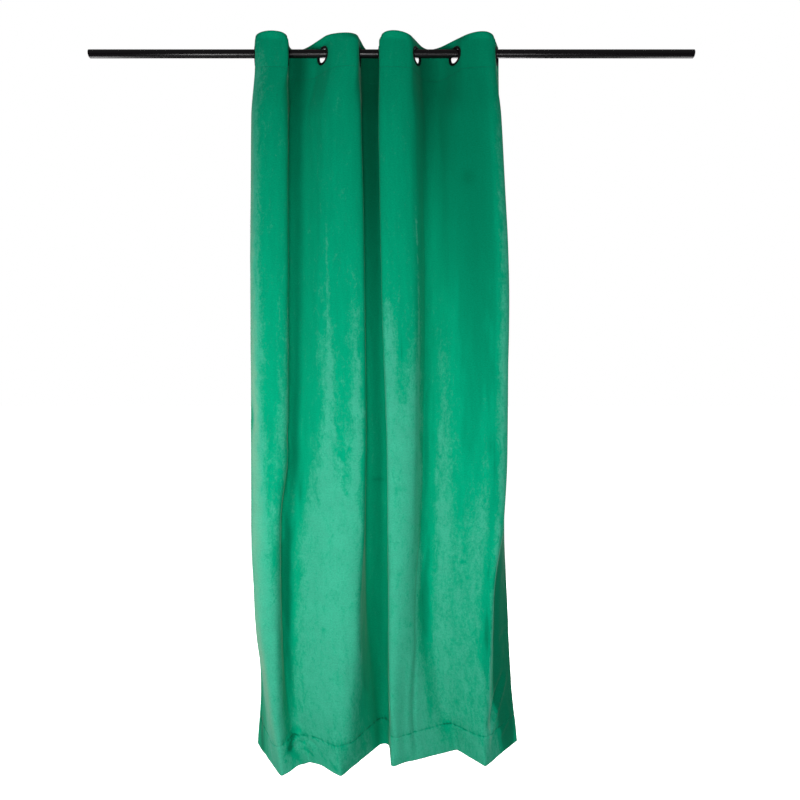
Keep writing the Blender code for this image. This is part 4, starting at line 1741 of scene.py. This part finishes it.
@dataclass
class Stitching:
    """The sewing on the panel, as threads that stand a little proud of the cloth."""

    panel: VelvetPanel
    rise: float = 0.30
    ring_shares: tuple[float, ...] = (0.0, 0.2, 0.8, 1.0)
    ring_swells: tuple[float, ...] = (0.25, 1.0, 1.0, 0.25)
    ring_lifts: tuple[float, ...] = (-0.3, 1.0, 1.0, -0.3)
    end_gap: float = 3.0
    side_in: float = 21.0
    side_gap: float = 4.0

    def threads(self, line: StitchLine, side: Side) -> tuple[np.ndarray, np.ndarray]:
        """Return one side's stitches.

        Args:
            line: The line of stitches.
            side: The face of the cloth that they lie on.

        Returns:
            Their points, and the three points of each face.
        """
        pile_side = side is Side.PILE
        first, last = line.stitch_spots()
        ends = []
        for spots in (first, last):
            surface, out = self.panel.surface(spots[:, 0], spots[:, 1], pile_side)
            ends.append((surface, out * side.value))
        (start, out), (end, _) = ends
        along = unit(end - start)
        aside = np.cross(along, out)
        turns = np.arange(line.sides) * 2 * math.pi / line.sides
        rings = []
        for share, swell, lift in zip(self.ring_shares, self.ring_swells, self.ring_lifts):
            middle = start + (end - start) * share + out * self.rise * lift * MM
            for turn in turns:
                around = aside * math.cos(turn) + out * math.sin(turn)
                rings.append(middle + around * line.thread * swell * MM)
        points = np.stack(rings, 1)
        faces, count = [], line.sides
        last_ring = (len(self.ring_shares) - 1) * count
        for ring in range(0, last_ring, count):
            for k in range(count):
                a, b = ring + k, ring + (k + 1) % count
                faces += [(a, b, b + count), (a, b + count, a + count)]
        for k in range(1, count - 1):
            faces += [(0, k + 1, k), (last_ring, last_ring + k, last_ring + k + 1)]
        base = np.arange(len(points))[:, None, None] * points.shape[1]
        return points.reshape(-1, 3), (np.array(faces)[None] + base).reshape(-1, 3)

    def build(self, name: str, lines: tuple[StitchLine, ...], thread: bpy.types.Material) -> bpy.types.Object:
        """Build one piece of sewing.

        Args:
            name: The piece's name.
            lines: Its lines of stitches.
            thread: The thread's material.

        Returns:
            The piece.
        """
        points, faces, count = [], [], 0
        for line in lines:
            for side in Side:
                some_points, some_faces = self.threads(line, side)
                if side is Side.REVERSE:
                    some_faces = some_faces[:, ::-1]
                points.append(some_points)
                faces.append(some_faces + count)
                count += len(some_points)
        mesh = bpy.data.meshes.new(name)
        mesh.from_pydata(np.concatenate(points).tolist(), [], np.concatenate(faces).tolist())
        mesh.shade_smooth()
        return link(name, mesh, thread)

    def build_all(self, thread: bpy.types.Material) -> list[bpy.types.Object]:
        """Build the sewing of the hem, the heading and the side hems.

        Args:
            thread: The thread's material.

        Returns:
            The three pieces.
        """
        width, seam = self.panel.plan.width, self.panel.marks.seam_down
        hem = self.panel.plan.drop - self.panel.marks.hem_height
        start, end = self.end_gap, width - self.end_gap
        left, right = self.side_in, width - self.side_in
        top, foot = seam + self.side_gap, hem - self.side_gap
        rows = {
            "hem_stitches": (StitchLine("hem", (start, hem), (end, hem)),),
            "heading_stitches": (StitchLine("heading", (start, seam), (end, seam)),),
            "side_stitches": (
                StitchLine("left side", (left, top), (left, foot)),
                StitchLine("right side", (right, top), (right, foot)),
            ),
        }
        return [self.build(name, lines, thread) for name, lines in rows.items()]


# Hard pieces

def turned_mesh(name: str, profile: list[Spot], sides: int, closed: bool) -> bpy.types.Mesh:
    """Return a mesh turned about its own Z axis.

    Args:
        name: The mesh's name.
        profile: Its corners, as distance from the axis and place along it, in mm.
        sides: How many sides it has.
        closed: Whether the profile joins up with itself, or ends on the axis at both ends.

    Returns:
        The mesh, with its faces pointing out for a profile that runs anticlockwise.
    """
    turns = np.arange(sides) * 2 * math.pi / sides
    radius, along = np.array(profile).T
    points = np.stack([
        np.outer(np.cos(turns), radius), np.outer(np.sin(turns), radius), np.outer(np.ones(sides), along),
    ], -1).reshape(-1, 3) * MM
    size = len(profile)
    faces = []
    for turn in range(sides):
        here, there = turn * size, ((turn + 1) % sides) * size
        for corner in range(size if closed else size - 1):
            after = (corner + 1) % size
            faces.append((here + corner, there + corner, there + after, here + after))
    if not closed:
        faces.append([turn * size for turn in range(sides)][::-1])
        faces.append([turn * size + size - 1 for turn in range(sides)])
    mesh = bpy.data.meshes.new(name)
    mesh.from_pydata(points.tolist(), [], faces)
    mesh.validate()
    mesh.shade_smooth()
    return mesh


def arc(centre: Spot, radius: Spot, start: float, end: float, steps: int) -> list[Spot]:
    """Return points on an arc of an ellipse, its angles in degrees."""
    turns = np.radians(np.linspace(start, end, steps + 1))
    return [(centre[0] + radius[0] * math.cos(t), centre[1] + radius[1] * math.sin(t)) for t in turns]


@dataclass
class Eyelets:
    """The eight black eyelets: a face ring with its barrel, and the back ring pressed onto it.

    Sizes are in mm. back_step is the step near the back ring's bore: how far out of the bore and how far
    below the crown its corners lie.
    """

    plan: FoldPlan
    bore: float = 23.0
    barrel: float = 26.5
    flange: float = 32.0
    cloth_gap: float = 1.3
    crown: float = 3.9
    lip: float = 1.4
    bevel: float = 0.3
    barrel_end: float = 1.0
    bore_round: float = 0.2
    crown_place: float = 0.42
    shoulder_end: float = 345.0
    face_steps: int = 7
    back_round: float = 2.4
    back_rim: float = 0.6
    back_top_drop: float = 0.2
    back_steps: int = 5
    back_step: tuple[Spot, ...] = ((3.15, 0.1), (2.7, 0.7), (1.2, 0.8), (0.3, 1.3))
    sides: int = 72

    def centre_down(self, index: int) -> float:
        """Return how far down the panel an eyelet's centre lies, from the model's own node."""
        low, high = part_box(f"eyelet_{index + 1}_face")
        return self.plan.heading - (low.z + high.z) / 2 / MM

    def place(self, index: int) -> Matrix:
        """Return an eyelet's place: its axis square to its flank, its face on the pile side.

        Args:
            index: The eyelet's number, from 0 at the left edge.

        Returns:
            Its matrix in the world.
        """
        flank = EYELET_BAND[index]
        across = flank.back_way()
        back_way = Vector((across[1], -across[0], 0)) * (1 if index % 2 == 0 else -1)
        up = Vector((0, 0, 1))
        place = Matrix((up, back_way.cross(up), back_way)).transposed().to_4x4()
        drop = self.centre_down(index) - self.plan.heading
        place.translation = Vector((flank.x, flank.y, -drop)) * MM
        return place

    def face_profile(self) -> list[Spot]:
        """Return the face ring's half section: a domed flange that runs into the barrel.

        Returns:
            Its corners, as distance from the axis and place along it, in mm.
        """
        gap, top = self.cloth_gap, self.crown - self.cloth_gap
        middle = self.bore + (self.flange - self.bore) * self.crown_place
        dome = arc((middle, -gap - self.bore_round), (middle - self.bore, top - self.bore_round),
                   180, 270, self.face_steps)
        shoulder = arc((middle, -gap - self.lip), (self.flange - middle, top - self.lip),
                       270, self.shoulder_end, self.face_steps)[1:]
        edge = [(self.flange, -gap - self.bevel), (self.flange - self.bevel, -gap)]
        barrel = [(self.barrel, -gap), (self.barrel, self.barrel_end)]
        return [(self.bore, self.barrel_end)] + dome + shoulder + edge + barrel

    def back_profile(self) -> list[Spot]:
        """Return the back ring's half section: a low domed flange with a small step near its bore.

        Returns:
            Its corners, as distance from the axis and place along it, in mm.
        """
        rise = self.crown - self.cloth_gap - (self.back_rim + self.back_top_drop)
        dome = arc((self.flange - self.back_round, self.cloth_gap + self.back_rim), (self.back_round, rise),
                   0, 90, self.back_steps)
        foot = [(self.bore, self.cloth_gap), (self.flange - self.bevel, self.cloth_gap)]
        return foot + dome + [(self.bore + out, self.crown - fall) for out, fall in self.back_step]

    def build(self, material: bpy.types.Material) -> list[bpy.types.Object]:
        """Build all eyelets, each half standing for its node.

        Args:
            material: Their finish.

        Returns:
            The face rings from left to right, and then the back rings.
        """
        pieces = []
        for half, profile in (("face", self.face_profile()), ("back", self.back_profile())):
            mesh = turned_mesh(f"eyelet_ring_{half}", profile, self.sides, True)
            for index in range(self.plan.eyelets):
                ring = link(f"eyelet_{index + 1}_ring_{half}", mesh, material)
                ring.matrix_world = self.place(index)
                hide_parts(f"eyelet_{index + 1}_{half}")
                pieces.append(ring)
        return pieces


@dataclass
class Rod:
    """The plain black rod, in two lengths that meet in a fine joint, with a plug in each end."""

    joint_at: float = -676.0
    joint_half: float = 0.9
    joint_depth: float = 0.7
    joint_floor: float = 0.45
    bevel: float = 0.6
    rounding: float = 0.15
    plug_inset: float = 0.5
    plug_radius: float = 11.8
    plug_bevel: float = 0.4
    plug_gap: float = 0.9
    axis_gap: float = 0.01
    sharp_angle: float = 35.0
    sides: int = 80

    def end_profile(self, radius: float) -> list[Spot]:
        """Return the half section of one end, from its axis to the rod's side.

        Args:
            radius: The rod's radius.

        Returns:
            Its corners, as distance from the axis and how far in from the end, in mm.
        """
        return [
            (self.axis_gap, self.plug_inset),
            (self.plug_radius - self.plug_bevel, self.plug_inset),
            (self.plug_radius, self.plug_gap),
            (self.plug_radius + self.rounding, 0.0),
            (radius - self.bevel, 0.0),
            (radius - self.rounding, self.rounding),
            (radius, self.bevel),
        ]

    def build(self, material: bpy.types.Material) -> bpy.types.Object:
        """Build the rod over its node's length.

        Args:
            material: Its finish.

        Returns:
            The rod.
        """
        low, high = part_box("curtain_rod")
        start, end = low.x / MM, high.x / MM
        radius = (high.z - low.z) / 2 / MM
        corners = self.end_profile(radius)
        joint = [
            (radius, self.joint_at - self.joint_half),
            (radius - self.joint_depth, self.joint_at - self.joint_floor),
            (radius - self.joint_depth, self.joint_at + self.joint_floor),
            (radius, self.joint_at + self.joint_half),
        ]
        profile = [(out, start + inward) for out, inward in corners] + joint
        profile += [(out, end - inward) for out, inward in reversed(corners)]
        mesh = turned_mesh("rod_tube", profile, self.sides, False)
        mesh.transform(Matrix.Rotation(math.pi / 2, 4, "Y"))
        mesh.set_sharp_from_angle(angle=math.radians(self.sharp_angle))
        rod = link("rod_tube", mesh, material)
        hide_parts("curtain_rod")
        return rod


# The studio

@dataclass(frozen=True)
class SoftLight:
    """A large soft light: where it stands, what it faces, its size in metres and its power."""

    name: str
    stands: Triple
    faces: Triple
    size: Spot
    power: float

    def build(self) -> None:
        """Put the light in the scene."""
        lamp = bpy.data.lights.new(self.name, "AREA")
        lamp.shape = "RECTANGLE"
        lamp.size, lamp.size_y = self.size
        lamp.energy = self.power
        stand = bpy.data.objects.new(self.name, lamp)
        stand.location = self.stands
        aim = Vector(self.faces) - Vector(self.stands)
        stand.rotation_euler = aim.to_track_quat("-Z", "Y").to_euler()
        stand.visible_camera = False
        bpy.context.scene.collection.objects.link(stand)


LIGHTS = (
    SoftLight("left softbox", (-1.15, -1.4, -1.5), (0.0, 0.0, -1.5), (0.6, 0.8), 20.0),
    SoftLight("right softbox", (1.1, -1.7, -1.4), (0.0, 0.0, -1.4), (0.6, 0.8), 10.0),
    SoftLight("front softbox", (-0.06, -2.3, -1.45), (-0.06, 0.0, -1.45), (0.5, 0.8), 27.0),
    SoftLight("back softbox", (0.2, 2.5, -1.2), (0.0, 0.0, -1.2), (2.0, 1.6), 76.0),
    SoftLight("left side softbox", (-2.2, 1.0, -1.25), (0.0, 0.0, -1.25), (1.0, 1.4), 22.0),
    SoftLight("right side softbox", (2.2, 1.2, -1.25), (0.0, 0.0, -1.25), (1.0, 1.4), 16.0),
)


@dataclass
class Studio:
    """The photograph's camera, a white surround, a pale floor and soft lights."""

    frame_size: float = 800.0
    focal_pixels: float = 589.6
    horizon_pixel: float = 380.5
    sensor: float = 36.0
    camera_place: Triple = (0.0296, -2.05, -1.1356)
    floor_below_hem: float = 0.10
    floor_half: float = 30.0
    surround: float = 0.17
    floor_bounce: float = 0.35
    floor_glow: float = 0.95
    floor_white: float = 0.93
    floor_roughness: float = 0.9

    def build(self, lowest: float) -> None:
        """Build the studio round the object.

        Args:
            lowest: The height of the object's lowest point, in metres.
        """
        bpy.context.scene.view_settings.view_transform = "Standard"
        self.build_camera()
        self.build_surround()
        self.build_floor(lowest - self.floor_below_hem)
        for light in LIGHTS:
            light.build()

    def build_camera(self) -> None:
        """Stand the camera where the photograph was taken from."""
        camera = bpy.data.cameras.new("photo_camera")
        camera.sensor_width = self.sensor
        camera.lens = self.focal_pixels / self.frame_size * self.sensor
        camera.shift_y = (self.horizon_pixel - self.frame_size / 2) / self.frame_size
        stand = bpy.data.objects.new("photo_camera", camera)
        stand.location = self.camera_place
        stand.rotation_euler = (math.pi / 2, 0, 0)
        bpy.context.scene.collection.objects.link(stand)
        bpy.context.scene.camera = stand

    def build_surround(self) -> None:
        """Surround the scene with a plain white backdrop that gives a soft, weaker light."""
        world = bpy.data.worlds.new("white_surround")
        world.use_nodes = True
        nodes = Nodes(world.node_tree)
        given = world.node_tree.nodes["Background"]
        nodes.feed_all(given, Color=WHITE, Strength=self.surround)
        backdrop = nodes.add("ShaderNodeBackground", Color=WHITE, Strength=1.0)
        seen = nodes.add("ShaderNodeLightPath").outputs["Is Camera Ray"]
        surface = nodes.blend_shaders(seen, given.outputs[0], backdrop.outputs[0])
        nodes.feed_all(world.node_tree.nodes["World Output"], Surface=surface)
        bpy.context.scene.world = world

    @staticmethod
    def grey(level: float) -> tuple[float, ...]:
        """Return an even grey of a given lightness, as a socket takes it."""
        return (level, level, level, 1.0)

    def build_floor(self, height: float) -> None:
        """Lay the pale floor under the hem.

        Args:
            height: The floor's height, in metres.
        """
        reach = self.floor_half
        mesh = bpy.data.meshes.new("pale_floor")
        corners = [(x * reach, y * reach, height) for x, y in ((-1, -1), (1, -1), (1, 1), (-1, 1))]
        mesh.from_pydata(corners, [], [(0, 1, 2, 3)])
        material, nodes, shader = new_material("pale floor paint")
        nodes.feed_all(
            shader, Base_Color=self.grey(self.floor_white), Roughness=self.floor_roughness,
            Specular_IOR_Level=0.0, Emission_Color=WHITE, Emission_Strength=self.floor_glow,
        )
        bounce = nodes.add("ShaderNodeBsdfDiffuse", Color=self.grey(self.floor_bounce))
        seen = nodes.add("ShaderNodeLightPath").outputs["Is Camera Ray"]
        surface = nodes.blend_shaders(seen, bounce.outputs[0], shader.outputs[0])
        nodes.feed_all(material.node_tree.nodes["Material Output"], Surface=surface)
        link("pale_floor", mesh, material)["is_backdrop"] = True


def main() -> None:
    """Build the panel, its sewing, the eyelets, the rod and the studio."""
    logging.basicConfig(level=logging.INFO, format="%(name)s: %(message)s")
    plan, marks, effects = FoldPlan(), ClothMarks(), SharedEffects()
    velvet = VelvetFinish().build(effects)
    reverse = ReverseFinish().build(effects)
    thread = ThreadFinish().build(effects)

    rod = Rod().build(ROD_LACQUER.build(effects))
    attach(rod, BODY)
    LOG.info("rod: %d faces", len(rod.data.polygons))

    eyelets = Eyelets(plan)
    rings = eyelets.build(EYELET_PLASTIC.build(effects))
    for ring in rings:
        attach(ring, BODY)
    LOG.info("eyelets: %d halves of %d faces", len(rings), len(rings[0].data.polygons))

    panel = VelvetPanel(plan, marks)
    net = ClothNet(plan, marks, [eyelets.centre_down(index) for index in range(plan.eyelets)])
    sheet = panel.build(net, velvet, reverse)
    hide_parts("velvet_panel")
    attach(sheet, BODY)
    LOG.info("panel: %d faces", len(sheet.data.polygons))

    sewn = Stitching(panel).build_all(thread)
    for piece in sewn:
        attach(piece, BODY)
        LOG.info("%s: %d faces", piece.name, len(piece.data.polygons))

    Studio().build(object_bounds()[0].z)


if __name__ == "__main__":
    main()
